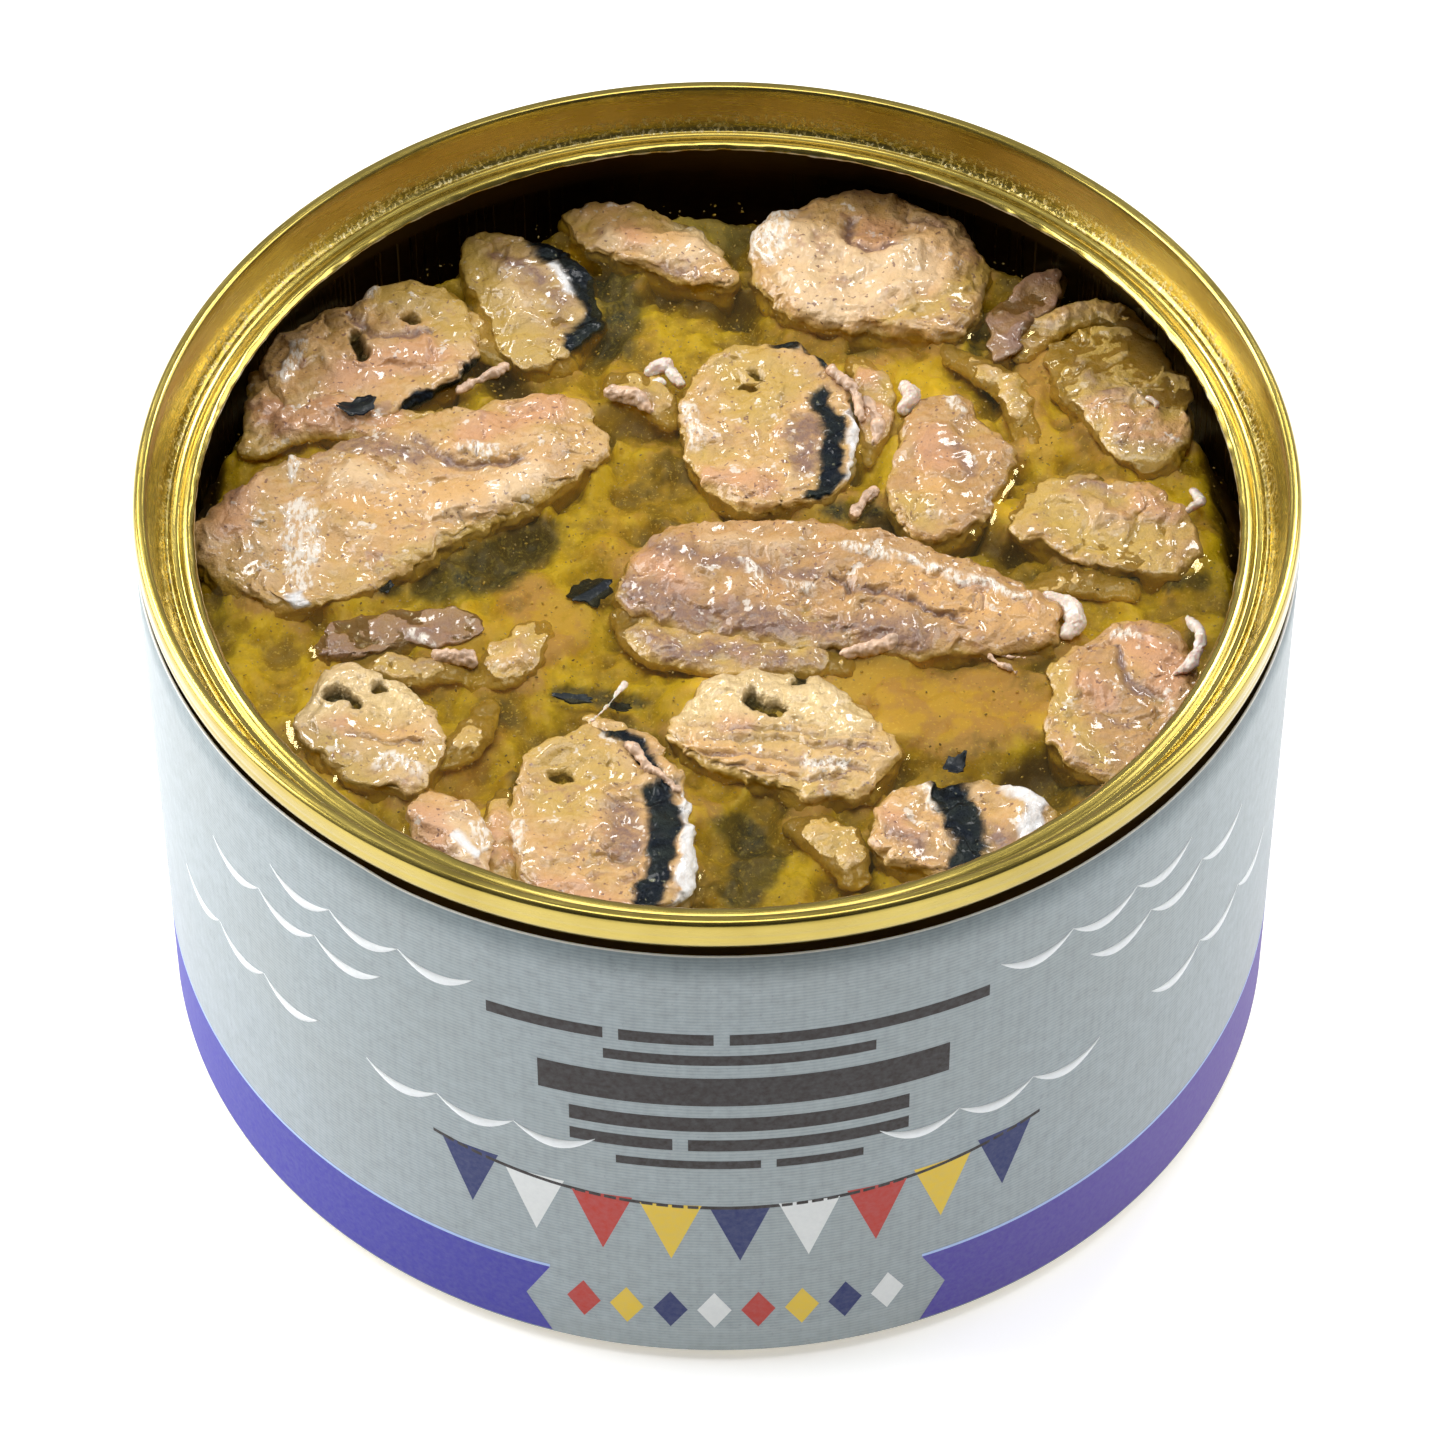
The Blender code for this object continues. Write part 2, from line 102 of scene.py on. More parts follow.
# Marks on each piece, in plan millimetres: (tissue, half width, points it runs through)
MARKS = {
    "steak_back": (
        ("fold", 0.35, (10.6, 37.4), (10.3, 35.2), (11.8, 33.7), (14.2, 33.9)),
        ("fat", 1.3, (4.6, 37.5), (3.8, 34.0)), ("pink", 1.6, (12.4, 36.4), (12.8, 35.2)),
        ("brown", 0.45, (15.0, 37.4), (17.6, 36.0)), ("soak", 1.0, (14.0, 25.8), (18.2, 28.2), (20.8, 31.4)),
        ("pale", 3.0, (7.0, 34.0), (12.0, 30.0), (17.0, 33.0)), ("pale", 1.6, (6.5, 30.0), (9.5, 27.0)),
        ("amber", 1.5, (17.0, 35.0), (20.0, 32.0)),
    ),
    "flake_back": (
        ("amber", 1.2, (-9.5, 38.4), (-4.0, 34.8)), ("pink", 0.9, (-7.0, 36.0), (-6.2, 35.2)),
        ("brown", 0.5, (-4.5, 31.8), (-1.5, 31.2)), ("silver", 0.7, (-3.0, 37.0), (0.4, 34.0)),
        ("pale", 1.2, (-8.4, 36.4), (-2.0, 33.4)),
    ),
    "steak_half_sunk": (
        ("brown", 0.8, (-17.2, 33.4), (-14.4, 31.2), (-12.4, 27.8), (-11.6, 25.4)),
        # A painted highlight along the skin's edge, laid in as white flesh
        ("white", 0.5, (-12.4, 31.8), (-11.4, 29.0)),
        ("skin", 1.4, (-13.6, 34.6), (-10.6, 32.0), (-9.2, 27.0), (-10.4, 22.8)),
        ("soak", 2.2, (-19.4, 32.0), (-18.0, 27.0), (-15.4, 23.0)),
        ("pale", 0.9, (-16.8, 29.0), (-15.4, 26.0)),
    ),
    "steak_left": (
        ("soak", 2.4, (-24.8, 29.0), (-21.4, 28.2), (-19.6, 25.6)),
        ("pit", 0.5, (-28.1, 24.8), (-27.3, 22.4)),
        ("pit", 0.4, (-24.2, 26.2), (-23.7, 25.6)),
        ("skin", 1.2, (-23.2, 16.2), (-20.2, 17.6), (-18.2, 20.4)),
        ("fat", 0.6, (-33.4, 19.6), (-32.2, 23.0)), ("pink", 1.9, (-28.5, 20.2), (-22.4, 22.6)),
        ("fat", 0.5, (-29.2, 28.4), (-27.2, 29.0)),
        ("fold", 0.3, (-29.0, 27.0), (-26.4, 24.4), (-22.0, 24.6)),
    ),
    "fillet_left": (
        ("brown", 1.0, (-30.6, 13.0), (-27.0, 13.0), (-23.0, 12.0)),
        ("fat", 0.9, (-31.6, 6.0), (-31.8, 3.0), (-30.6, -1.0)), ("fat", 0.4, (-33.0, 11.0), (-32.2, 9.2)),
        ("fat", 0.7, (-19.6, 12.4), (-17.4, 11.8)), ("white", 0.5, (-31.4, -2.4), (-31.0, -4.2)),
        ("pale", 1.5, (-28.0, 9.0), (-20.0, 6.0), (-14.0, 9.0)),
        ("pink", 1.4, (-36.0, 10.0), (-36.6, 4.0)), ("pink", 1.4, (-19.0, 13.6), (-12.4, 16.6)),
        ("soak", 0.8, (-24.6, -0.2), (-18.6, 2.4), (-12.6, 7.6)),
        ("fold", 0.35, (-23.0, 13.6), (-19.8, 10.4), (-15.0, 10.6)),
        ("amber", 1.4, (-27.0, 6.0), (-19.0, 7.4)), ("pit", 0.3, (-35.8, 8.6), (-35.6, 8.2)),
        ("brown", 0.5, (-37.0, 9.0), (-36.4, 6.6)), ("fat", 0.5, (-30.4, 5.0), (-30.0, 1.0)),
    ),
    "steak_middle": (
        ("skin", 0.6, (4.4, 23.7), (6.6, 23.0), (8.4, 20.9)),
        ("skin", 0.85, (8.1, 17.4), (8.8, 14.0), (8.7, 10.0), (7.6, 6.8)),
        ("white", 0.55, (10.2, 15.8), (10.5, 12.0), (9.8, 8.4)), ("brown", 1.2, (7.0, 14.4), (6.8, 11.0)),
        ("soak", 2.6, (1.6, 21.4), (4.4, 19.0), (3.0, 16.8)), ("pink", 1.2, (-0.6, 9.4), (4.0, 8.0)),
        ("pit", 0.4, (1.9, 19.0), (2.3, 18.8)), ("pit", 0.28, (3.2, 20.8), (3.4, 20.6)),
        ("fat", 0.45, (-1.8, 17.0), (-1.4, 13.0)), ("brown", 0.5, (8.6, 21.4), (9.6, 18.8)),
    ),
    "steak_oval": (
        ("pink", 1.5, (16.8, 12.6), (17.4, 10.6)), ("soak", 1.0, (14.4, 6.8), (15.8, 4.2)),
        ("brown", 0.4, (18.6, 12.0), (19.4, 9.4)), ("fat", 0.45, (17.6, 17.2), (18.2, 16.2)),
        ("amber", 1.2, (16.0, 8.0), (17.8, 6.0)),
    ),
    "steak_right": (
        ("pink", 1.3, (30.6, 6.0), (33.4, 6.8), (35.0, 5.2)),
        ("soak", 1.7, (24.8, 6.2), (27.2, 2.8), (32.0, 0.2)),
        ("brown", 0.7, (27.2, 8.2), (30.0, 6.2)), ("pit", 0.3, (29.4, 8.6), (29.8, 8.4)),
        ("pale", 1.0, (27.0, 6.0), (30.0, 3.6)),
    ),
    "flesh_right_back": (
        ("pink", 1.6, (29.6, 15.4), (32.0, 14.0), (34.4, 13.0)), ("brown", 0.8, (27.6, 21.0), (30.0, 17.6)),
        ("soak", 1.5, (27.0, 24.0), (26.6, 19.0)), ("brown", 0.5, (31.0, 12.2), (34.0, 11.6)),
    ),
    "fin_scrap": (("brown", 2.2, (22.0, 23.4), (26.6, 31.0)),),
    "steak_lower_right": (
        ("pink", 1.6, (31.0, -8.2), (33.0, -9.8), (33.0, -12.0)),
        ("pink", 1.0, (27.2, -12.2), (28.4, -13.4)),
        ("soak", 1.0, (25.3, -10.0), (25.3, -15.0), (27.6, -19.4)), ("fat", 0.5, (30.0, -7.4), (31.0, -7.2)),
        ("fold", 0.3, (29.4, -9.0), (30.2, -12.0), (32.6, -13.6)),
        ("amber", 1.0, (30.2, -9.0), (31.6, -10.6)),
        ("brown", 0.4, (28.2, -15.4), (30.0, -16.4)),
    ),
    "fillet_middle": (
        ("brown", 2.2, (-6.0, -3.4), (-1.6, -5.6), (5.0, -7.4), (14.0, -7.6)),
        ("brown", 0.8, (-4.4, 1.4), (2.0, -0.4), (7.0, -0.6)),
        ("fat", 0.5, (9.4, 2.1), (14.0, 0.8), (19.0, -1.2), (22.6, -3.2)),
        ("fat", 0.5, (2.2, 0.2), (2.6, -1.6)),
        ("fat", 0.5, (5.2, -1.6), (6.8, -2.4)), ("amber", 1.9, (14.0, -1.4), (19.0, -4.0), (24.0, -6.0)),
        ("pink", 1.2, (-5.0, 0.0), (-2.8, -2.8)), ("fold", 0.3, (8.6, -1.4), (13.0, -3.2), (18.0, -5.6)),
        ("pale", 0.8, (0.0, 2.6), (6.0, 2.2)),
    ),
    "fillet_silver": (
        ("silver", 2.4, (-2.4, -13.6), (2.0, -12.6), (7.0, -13.4), (9.4, -15.0)),
        ("pit", 0.75, (2.3, -13.3), (4.1, -14.5)),
        ("pit", 0.4, (5.7, -12.1), (6.1, -12.0)), ("soak", 1.2, (-2.4, -20.0), (1.4, -22.4), (7.0, -22.4)),
        ("fat", 0.6, (6.2, -19.4), (9.4, -20.4)), ("pink", 0.7, (0.2, -15.2), (1.6, -16.2)),
        ("fold", 0.22, (0.0, -17.4), (6.0, -17.6), (12.0, -19.0)),
        ("fold", 0.2, (-1.0, -19.0), (6.0, -19.4), (11.4, -21.0)),
        ("amber", 1.2, (-1.6, -18.4), (4.0, -20.6)),
        ("fold", 0.15, (1.0, -16.4), (6.0, -16.6), (11.0, -17.8)),
        ("fold", 0.15, (-0.4, -20.4), (6.0, -20.8), (10.0, -21.8)),
    ),
    "steak_front": (
        ("skin", 0.6, (-8.8, -16.4), (-6.2, -17.9), (-4.6, -20.2)),
        ("skin", 1.15, (-4.3, -22.2), (-4.0, -26.0), (-4.4, -30.0), (-5.4, -34.0)),
        ("white", 0.8, (-2.3, -23.6), (-1.9, -28.0), (-2.6, -34.0)),
        ("brown", 1.2, (-7.0, -24.6), (-7.0, -28.0)),
        ("soak", 2.5, (-12.4, -17.8), (-9.2, -20.0), (-11.0, -22.8)),
        ("pit", 0.45, (-11.7, -20.3), (-11.2, -20.7)),
        ("pink", 1.4, (-12.0, -31.8), (-8.0, -34.0)), ("fat", 0.45, (-14.2, -25.0), (-14.4, -28.4)),
    ),
    "knob_front_left": (
        ("pink", 1.1, (-20.6, -24.6), (-20.2, -27.0)), ("white", 0.5, (-18.6, -26.8), (-18.0, -27.8)),
        ("pale", 1.2, (-19.4, -25.4), (-17.8, -30.0)), ("brown", 0.5, (-20.6, -28.4), (-18.8, -30.2)),
        ("fat", 0.5, (-17.6, -25.4), (-17.0, -27.4)),
    ),
    "fillet_silver_left": (
        ("silver", 2.0, (-29.6, -14.2), (-26.0, -12.4), (-23.0, -13.4)),
        ("pit", 0.6, (-28.5, -13.4), (-27.0, -14.3)), ("amber", 1.1, (-26.0, -16.6), (-22.6, -17.6)),
        ("pit", 0.38, (-25.1, -12.4), (-24.7, -12.3)), ("soak", 1.0, (-28.8, -18.2), (-26.0, -21.6)),
        ("fat", 0.7, (-24.6, -19.6), (-22.4, -20.8)), ("fold", 0.2, (-27.0, -17.4), (-22.0, -18.4)),
        ("pink", 0.6, (-28.6, -16.0), (-27.4, -16.8)),
    ),
    "strip_left": (
        ("brown", 1.7, (-30.0, -9.0), (-18.0, -6.6)), ("fat", 0.45, (-22.4, -7.4), (-21.6, -8.2)),
        ("pink", 0.6, (-20.4, -8.0), (-18.6, -8.2)),
    ),
    "chunk_front_right": (
        ("skin", 1.5, (16.8, -21.4), (17.5, -24.4), (18.3, -27.8), (17.4, -30.4)),
        ("fat", 0.6, (15.2, -21.6), (15.7, -24.0)),
        ("white", 0.8, (21.4, -22.2), (22.8, -24.0), (22.4, -27.0)),
        ("pink", 0.8, (12.6, -24.6), (13.6, -27.4)), ("brown", 0.5, (12.4, -26.2), (14.4, -28.4)),
        ("brown", 0.8, (20.2, -26.6), (20.6, -29.6)), ("amber", 0.8, (19.4, -24.6), (20.4, -28.0)),
    ),
    "bed": (
        ("skin", 2.2, (-21.0, -2.6), (-17.0, -1.4), (-14.0, 2.0)),
        ("skin", 1.0, (-25.4, -2.2), (-24.8, -3.2)),
        ("skin", 1.1, (-6.6, -5.6), (-4.8, -8.8)), ("skin", 0.7, (-11.6, -13.8), (-6.0, -14.8)),
        ("skin", 1.6, (1.2, -27.0), (3.2, -30.0), (1.6, -33.4)), ("skin", 1.7, (14.4, 24.2), (19.2, 25.0)),
        ("skin", 1.8, (-8.6, 31.4), (-7.4, 26.6), (-8.2, 22.8)), ("skin", 1.0, (29.0, -2.4), (36.0, -2.8)),
        ("skin", 1.6, (26.4, -22.4), (29.4, -23.8), (32.4, -21.6)),
        ("skin", 0.5, (20.0, 22.2), (21.8, 15.8)),
        ("skin", 0.9, (8.6, 4.6), (12.0, 4.4)), ("silver", 1.6, (-2.4, 37.6), (1.2, 34.6)),
        ("pale", 2.4, (-14.0, -4.4), (-11.4, -7.0), (-13.4, -9.0)),
        ("pale", 3.4, (10.4, -12.4), (15.6, -14.0), (21.0, -15.6)),
        ("pale", 2.6, (13.0, -17.0), (18.0, -18.0)), ("pale", 1.2, (20.6, -10.4), (25.6, -9.8)),
        ("pale", 1.4, (24.4, 20.6), (23.8, 14.4), (25.2, 11.0)), ("pale", 1.3, (-15.0, 25.0), (-13.0, 20.8)),
        ("pale", 1.2, (3.4, 5.4), (8.8, 4.6)), ("pale", 1.3, (-7.4, 18.6), (-5.4, 16.4)),
        ("pale", 1.0, (12.4, 20.6), (12.8, 14.0)),
        ("pale", 1.4, (-17.0, -12.6), (-14.0, -12.4)), ("pale", 1.6, (6.0, -26.4), (8.4, -29.6)),
        ("brown", 1.3, (-2.0, -9.6), (8.0, -9.8), (14.0, -9.2)),
        # The deep marks sink the heap and paint it dark brown: painted shade between the pieces
        ("brown", 1.1, (-8.4, 15.4), (-5.6, 13.2)), ("deep", 1.2, (-17.8, 19.6), (-15.2, 17.0)),
        ("deep", 1.6, (-4.0, 28.6), (1.6, 27.2)),
        ("deep", 1.2, (12.0, 3.0), (22.0, 0.4)), ("deep", 1.6, (21.0, -24.0), (25.0, -20.6)),
        ("amber", 1.0, (-18.8, -24.0), (-16.6, -18.0)),
        ("pale", 1.3, (-21.6, -11.6), (-18.4, -9.8)),
    ),
}


def active_settings():
    return bpy.context.scene.fish_tin


# Shapes and fields

def lattice_noise(points, seed):
    """Smooth noise from about -1 to 1 at an array of points, one unit between its lattice planes."""
    cell = np.floor(points).astype(np.int64)
    part = points - cell
    ease = part * part * part * (part * (part * 6.0 - 15.0) + 10.0)
    total = np.zeros(len(points))
    for corner in itertools.product((0, 1), repeat=3):
        at = cell + np.array(corner)
        code = at[:, 0] * 73856093 ^ at[:, 1] * 19349663 ^ at[:, 2] * 83492791 ^ (seed + 1) * 26544357
        code = code & 0xFFFFFFFF
        code = ((code ^ (code >> 13)) * 1274126177) & 0xFFFFFFFF
        code = code ^ (code >> 16)
        angle = (code & 0xFFFF) / 65536.0 * math.tau
        height = ((code >> 16) & 0xFFFF) / 32768.0 - 1.0
        flat = np.sqrt(1.0 - height * height)
        away = part - np.array(corner)
        slope = flat * np.cos(angle) * away[:, 0] + flat * np.sin(angle) * away[:, 1] + height * away[:, 2]
        weight = np.prod(np.where(np.array(corner) == 1, ease, 1.0 - ease), axis=1)
        total += weight * slope
    return total * 1.6


def layered_noise(points, size, seed, octaves=3):
    """Noise with detail on detail; size is its largest lump in the points' own unit."""
    total = np.zeros(len(points))
    share = 1.0
    for octave in range(octaves):
        total += share * lattice_noise(points / size * 2.07 ** octave, seed + 17 * octave)
        share *= 0.5
    return total


def smooth_step(low, high, value):
    share = np.clip((value - low) / (high - low), 0.0, 1.0)
    return share * share * (3.0 - 2.0 * share)


def plan_of(points):
    """Where points lie in the plan that the marks are given in."""
    return np.c_[points[:, 0], points[:, 1] + SIGHT_SLOPE * (points[:, 2] - PLAN_HEIGHT)]


def distance_to_path(plan, path):
    """Distance in plan from each point to a line through a few points."""
    nearest = np.full(len(plan), 1e9)
    for start, end in zip(path[:-1], path[1:]):
        a = np.array(start)
        run = np.array(end) - a
        share = np.clip(((plan - a) @ run) / max(float(run @ run), 1e-9), 0.0, 1.0)
        gap = plan - a - share[:, None] * run
        nearest = np.minimum(nearest, np.hypot(gap[:, 0], gap[:, 1]))
    return nearest


def marked(points, marks, seed):
    """The tissue fields of some marks at points in millimetres, and the lift they give."""
    plan = plan_of(points)
    ragged = 0.45 * layered_noise(np.c_[plan, np.zeros(len(plan))], 1.5, seed, 3)
    fields = {name: np.zeros((len(points), 4)) for name in ("tissue", "finish", "soft", "relief")}
    lift = np.zeros(len(points))
    for tissue, half_width, *path in marks:
        name, channel, rise = TISSUES[tissue]
        sharp = tissue in ("skin", "pit", "fold", "fat", "white")
        edge = 0.1 + 0.2 * half_width if sharp else 0.5 + 0.3 * half_width
        away = distance_to_path(plan, path) + ragged * min(1.0, half_width)
        inside = 1.0 - smooth_step(half_width - edge, half_width + edge, away)
        fields[name][:, channel] = np.maximum(fields[name][:, channel], inside)
        lift += rise * inside
    return fields, lift


def store_fields(mesh, fields):
    for name, values in fields.items():
        values[:, 3] = 1.0
        layer = mesh.color_attributes.new(name, "FLOAT_COLOR", "POINT")
        layer.data.foreach_set("color", values.astype(np.float32).ravel())


def read_points(mesh):
    points = np.zeros(len(mesh.vertices) * 3, np.float32)
    mesh.vertices.foreach_get("co", points)
    return points.reshape(-1, 3).astype(float)


def read_normals(mesh):
    normals = np.zeros(len(mesh.vertices) * 3, np.float32)
    mesh.vertex_normals.foreach_get("vector", normals)
    return normals.reshape(-1, 3).astype(float)


def write_points(mesh, points):
    mesh.vertices.foreach_set("co", points.astype(np.float32).ravel())
    mesh.update()


def new_object(name, mesh):
    obj = bpy.data.objects.new(name, mesh)
    bpy.context.scene.collection.objects.link(obj)
    return obj


def evaluated_mesh(obj):
    """The object's mesh with its modifiers applied, which it keeps in place of them."""
    graph = bpy.context.evaluated_depsgraph_get()
    mesh = bpy.data.meshes.new_from_object(obj.evaluated_get(graph))
    obj.modifiers.clear()
    obj.data = mesh
    return mesh


def settle(obj, slot, material, *nodes):
    """Gives a finished piece its material and its body, and hides the nodes it stands for. The slot is not
    used.
    """
    if material is not None:
        obj.data.materials.clear()
        obj.data.materials.append(material)
    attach(obj, "root")
    if nodes:
        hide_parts(*nodes)
    return obj


def turned(name, profile, steps, closed):
    """A profile of (radius, height) in millimetres turned round the tin's axis, in metres."""
    count = len(profile)
    points = []
    faces = []
    on_axis = {}
    for i, (radius, height) in enumerate(profile):
        if radius < 1e-6:
            on_axis[i] = len(points)
            points.append((0.0, 0.0, height * MM))
            continue
        for step in range(steps):
            angle = math.tau * step / steps
            points.append((radius * MM * math.cos(angle), radius * MM * math.sin(angle), height * MM))
    starts = []
    total = 0
    for i in range(count):
        starts.append(total)
        total += 1 if i in on_axis else steps
    pairs = [(i, (i + 1) % count) for i in range(count if closed else count - 1)]
    for a, b in pairs:
        for step in range(steps):
            after = (step + 1) % steps
            if a in on_axis and b in on_axis:
                continue
            if a in on_axis:
                faces.append((starts[a], starts[b] + step, starts[b] + after))
            elif b in on_axis:
                faces.append((starts[a] + step, starts[b], starts[a] + after))
            else:
                faces.append((starts[a] + step, starts[b] + step, starts[b] + after, starts[a] + after))
    mesh = bpy.data.meshes.new(name)
    mesh.from_pydata(points, [], faces)
    bm = bmesh.new()
    bm.from_mesh(mesh)
    bmesh.ops.recalc_face_normals(bm, faces=bm.faces)
    bm.to_mesh(mesh)
    bm.free()
    mesh.shade_smooth()
    return new_object(name, mesh)


def rounded(profile, radius, count=4):
    """The profile with each inner corner of an open profile cut to a small arc of that radius."""
    result = [profile[0]]
    for before, corner, after in zip(profile[:-2], profile[1:-1], profile[2:]):
        here = Vector(corner)
        back = Vector(before) - here
        on = Vector(after) - here
        reach = min(radius, 0.45 * back.length, 0.45 * on.length)
        start = here + back.normalized() * reach
        end = here + on.normalized() * reach
        for step in range(count + 1):
            t = step / count
            result.append(tuple(start * (1 - t) ** 2 + here * 2 * t * (1 - t) + end * t * t))
    result.append(profile[-1])
    return result


def tube(points, radii, sides=14, steps=6, flatten=1.0):
    """Points and faces of a closed round-ended tube through points, in millimetres."""
    path = []
    for i in range(len(points) - 1):
        p = [Vector(points[max(0, min(len(points) - 1, j))]) for j in (i - 1, i, i + 1, i + 2)]
        for step in range(steps):
            t = step / steps
            spot = 2 * p[1] + (p[2] - p[0]) * t + (2 * p[0] - 5 * p[1] + 4 * p[2] - p[3]) * t * t
            spot += (3 * p[1] - p[0] - 3 * p[2] + p[3]) * t ** 3
            path.append((0.5 * spot, radii[i] * (1 - t) + radii[i + 1] * t))
    path.append((Vector(points[-1]), radii[-1]))
    rings = []
    for i, (at, radius) in enumerate(path):
        ahead = path[min(i + 1, len(path) - 1)][0] - path[max(i - 1, 0)][0]
        ahead.normalize()
        if i == 0:
            rings += [(at - ahead * radius * math.sin(a), radius * math.cos(a), ahead)
                      for a in (1.25, 0.8, 0.4)]
        rings.append((at, radius, ahead))
        if i == len(path) - 1:
            rings += [(at + ahead * radius * math.sin(a), radius * math.cos(a), ahead)
                      for a in (0.4, 0.8, 1.25)]
    verts = []
    faces = []
    for at, radius, ahead in rings:
        side = ahead.cross(Vector((0, 0, 1)))
        side = side.normalized() if side.length > 1e-6 else Vector((1, 0, 0))
        top = side.cross(ahead)
        for k in range(sides):
            a = math.tau * k / sides
            verts.append(at + side * radius * math.cos(a) + top * radius * flatten * math.sin(a))
    for i in range(len(rings) - 1):
        for k in range(sides):
            after = (k + 1) % sides
            faces.append((i * sides + k, i * sides + after, (i + 1) * sides + after, (i + 1) * sides + k))
    faces.append(tuple(range(sides))[::-1])
    faces.append(tuple((len(rings) - 1) * sides + k for k in range(sides)))
    return verts, faces


def mesh_of(name, shapes):
    """One mesh of several (points, faces) shapes given in millimetres, smooth, facing outwards."""
    bm = bmesh.new()
    for verts, faces in shapes:
        made = [bm.verts.new(Vector(v) * MM) for v in verts]
        for face in faces:
            bm.faces.new([made[i] for i in face])
    bmesh.ops.recalc_face_normals(bm, faces=bm.faces)
    mesh = bpy.data.meshes.new(name)
    bm.to_mesh(mesh)
    bm.free()
    mesh.shade_smooth()
    return mesh


def disc_solid(name, radius, pitch, floor, height_at):
    """A round solid with an even square grid on top, whose heights in millimetres come from a rule."""
    count = int(radius / pitch) + 1
    line = np.arange(-count, count + 1) * pitch
    grid_x, grid_y = np.meshgrid(line, line, indexing="ij")
    reach = np.hypot(grid_x, grid_y)
    inside = reach <= radius + 0.7 * pitch
    pull = np.where(reach > radius - 0.35 * pitch, radius / np.maximum(reach, 1e-9), 1.0)
    x = (grid_x * pull)[inside]
    y = (grid_y * pull)[inside]
    index = np.full(inside.shape, -1)
    index[inside] = np.arange(int(inside.sum()))
    corners = np.stack([index[:-1, :-1], index[1:, :-1], index[1:, 1:], index[:-1, 1:]], -1).reshape(-1, 4)
    corners = corners[(corners >= 0).all(1)]
    used = np.unique(corners)
    renumber = np.full(len(x), -1)
    renumber[used] = np.arange(len(used))
    x = x[used]
    y = y[used]
    z = height_at(x, y)
    mesh = bpy.data.meshes.new(name)
    mesh.from_pydata(np.c_[x, y, z].tolist(), [], renumber[corners].tolist())
    bm = bmesh.new()
    bm.from_mesh(mesh)
    rim = [edge for edge in bm.edges if len(edge.link_faces) == 1]
    made = bmesh.ops.extrude_edge_only(bm, edges=rim)["geom"]
    for vert in made:
        if isinstance(vert, bmesh.types.BMVert):
            vert.co.z = floor
    foot = [edge for edge in made if isinstance(edge, bmesh.types.BMEdge) and len(edge.link_faces) == 1]
    bmesh.ops.contextual_create(bm, geom=foot)
    bmesh.ops.recalc_face_normals(bm, faces=bm.faces)
    bm.to_mesh(mesh)
    bm.free()
    mesh.shade_smooth()
    return mesh


# Materials

def add(tree, kind, sockets=None, **settings):
    """A node with its settings, and its sockets set or linked by name or number."""
    node = tree.nodes.new(kind)
    for key, value in settings.items():
        setattr(node, key, value)
    for key, value in (sockets or {}).items():
        if isinstance(value, bpy.types.NodeSocket):
            tree.links.new(value, node.inputs[key])
        else:
            node.inputs[key].default_value = value
    return node


def noise(tree, coords, scale, detail=3.0, roughness=0.5):
    sockets = {"Vector": coords, "Scale": scale, "Detail": detail, "Roughness": roughness}
    return add(tree, "ShaderNodeTexNoise", sockets).outputs["Fac"]


def between(tree, value, low, high, to_low=0.0, to_high=1.0):
    sockets = {"Value": value, "From Min": low, "From Max": high, "To Min": to_low, "To Max": to_high}
    return add(tree, "ShaderNodeMapRange", sockets).outputs["Result"]


def blend(tree, factor, first, second):
    """Two colours mixed; each may be a socket or a colour."""
    wide = [c if isinstance(c, bpy.types.NodeSocket) else (*c, 1.0) for c in (first, second)]
    node = add(tree, "ShaderNodeMix", {0: factor, 6: wide[0], 7: wide[1]}, data_type="RGBA")
    return node.outputs[2]


def maths(tree, operation, first, second=0.0):
    return add(tree, "ShaderNodeMath", {0: first, 1: second}, operation=operation).outputs["Value"]


def times(tree, first, second):
    return maths(tree, "MULTIPLY", first, second)


def overlaid(tree, colour, layers):
    """The colour with others laid over it in turn, each given as (mask, share, colour)."""
    for mask, share, over in layers:
        colour = blend(tree, mask if share == 1.0 else times(tree, mask, share), colour, over)
    return colour


def parted(tree, vector):
    return add(tree, "ShaderNodeSeparateXYZ", {"Vector": vector}).outputs


def joined(tree, x, y, z):
    return add(tree, "ShaderNodeCombineXYZ", {"X": x, "Y": y, "Z": z}).outputs["Vector"]


def channels(tree, attribute):
    """The three tissues that one of the mesh's attributes holds."""
    colour = add(tree, "ShaderNodeAttribute", attribute_name=attribute).outputs["Color"]
    return tuple(add(tree, "ShaderNodeSeparateColor", {"Color": colour}).outputs)[:3]


def stretched(tree, coords, scale):
    return add(tree, "ShaderNodeMapping", {"Vector": coords, "Scale": scale}).outputs["Vector"]


def new_material(name, **values):
    material = bpy.data.materials.new(name)
    material.use_nodes = True
    tree = material.node_tree
    shader = tree.nodes["Principled BSDF"]
    for key, value in values.items():
        socket = shader.inputs[key.replace("_", " ").title().replace("Ior", "IOR")]
        socket.default_value = (*value, 1.0) if key == "base_color" else value
    coords = add(tree, "ShaderNodeTexCoord").outputs["Object"]
    return material, tree, shader, coords


def bump(tree, shader, height, distance, strength=1.0):
    sockets = {"Height": height, "Distance": distance, "Strength": strength}
    tree.links.new(add(tree, "ShaderNodeBump", sockets).outputs["Normal"], shader.inputs["Normal"])


def round_coords(tree, coords):
    """The angle round the tin's axis, and the distance from it and the height in metres."""
    parts = parted(tree, coords)
    angle = maths(tree, "ARCTAN2", parts["Y"], parts["X"])
    squares = maths(tree, "ADD", times(tree, parts["X"], parts["X"]), times(tree, parts["Y"], parts["Y"]))
    radius = maths(tree, "SQRT", squares)
    return angle, radius, parts["Z"]


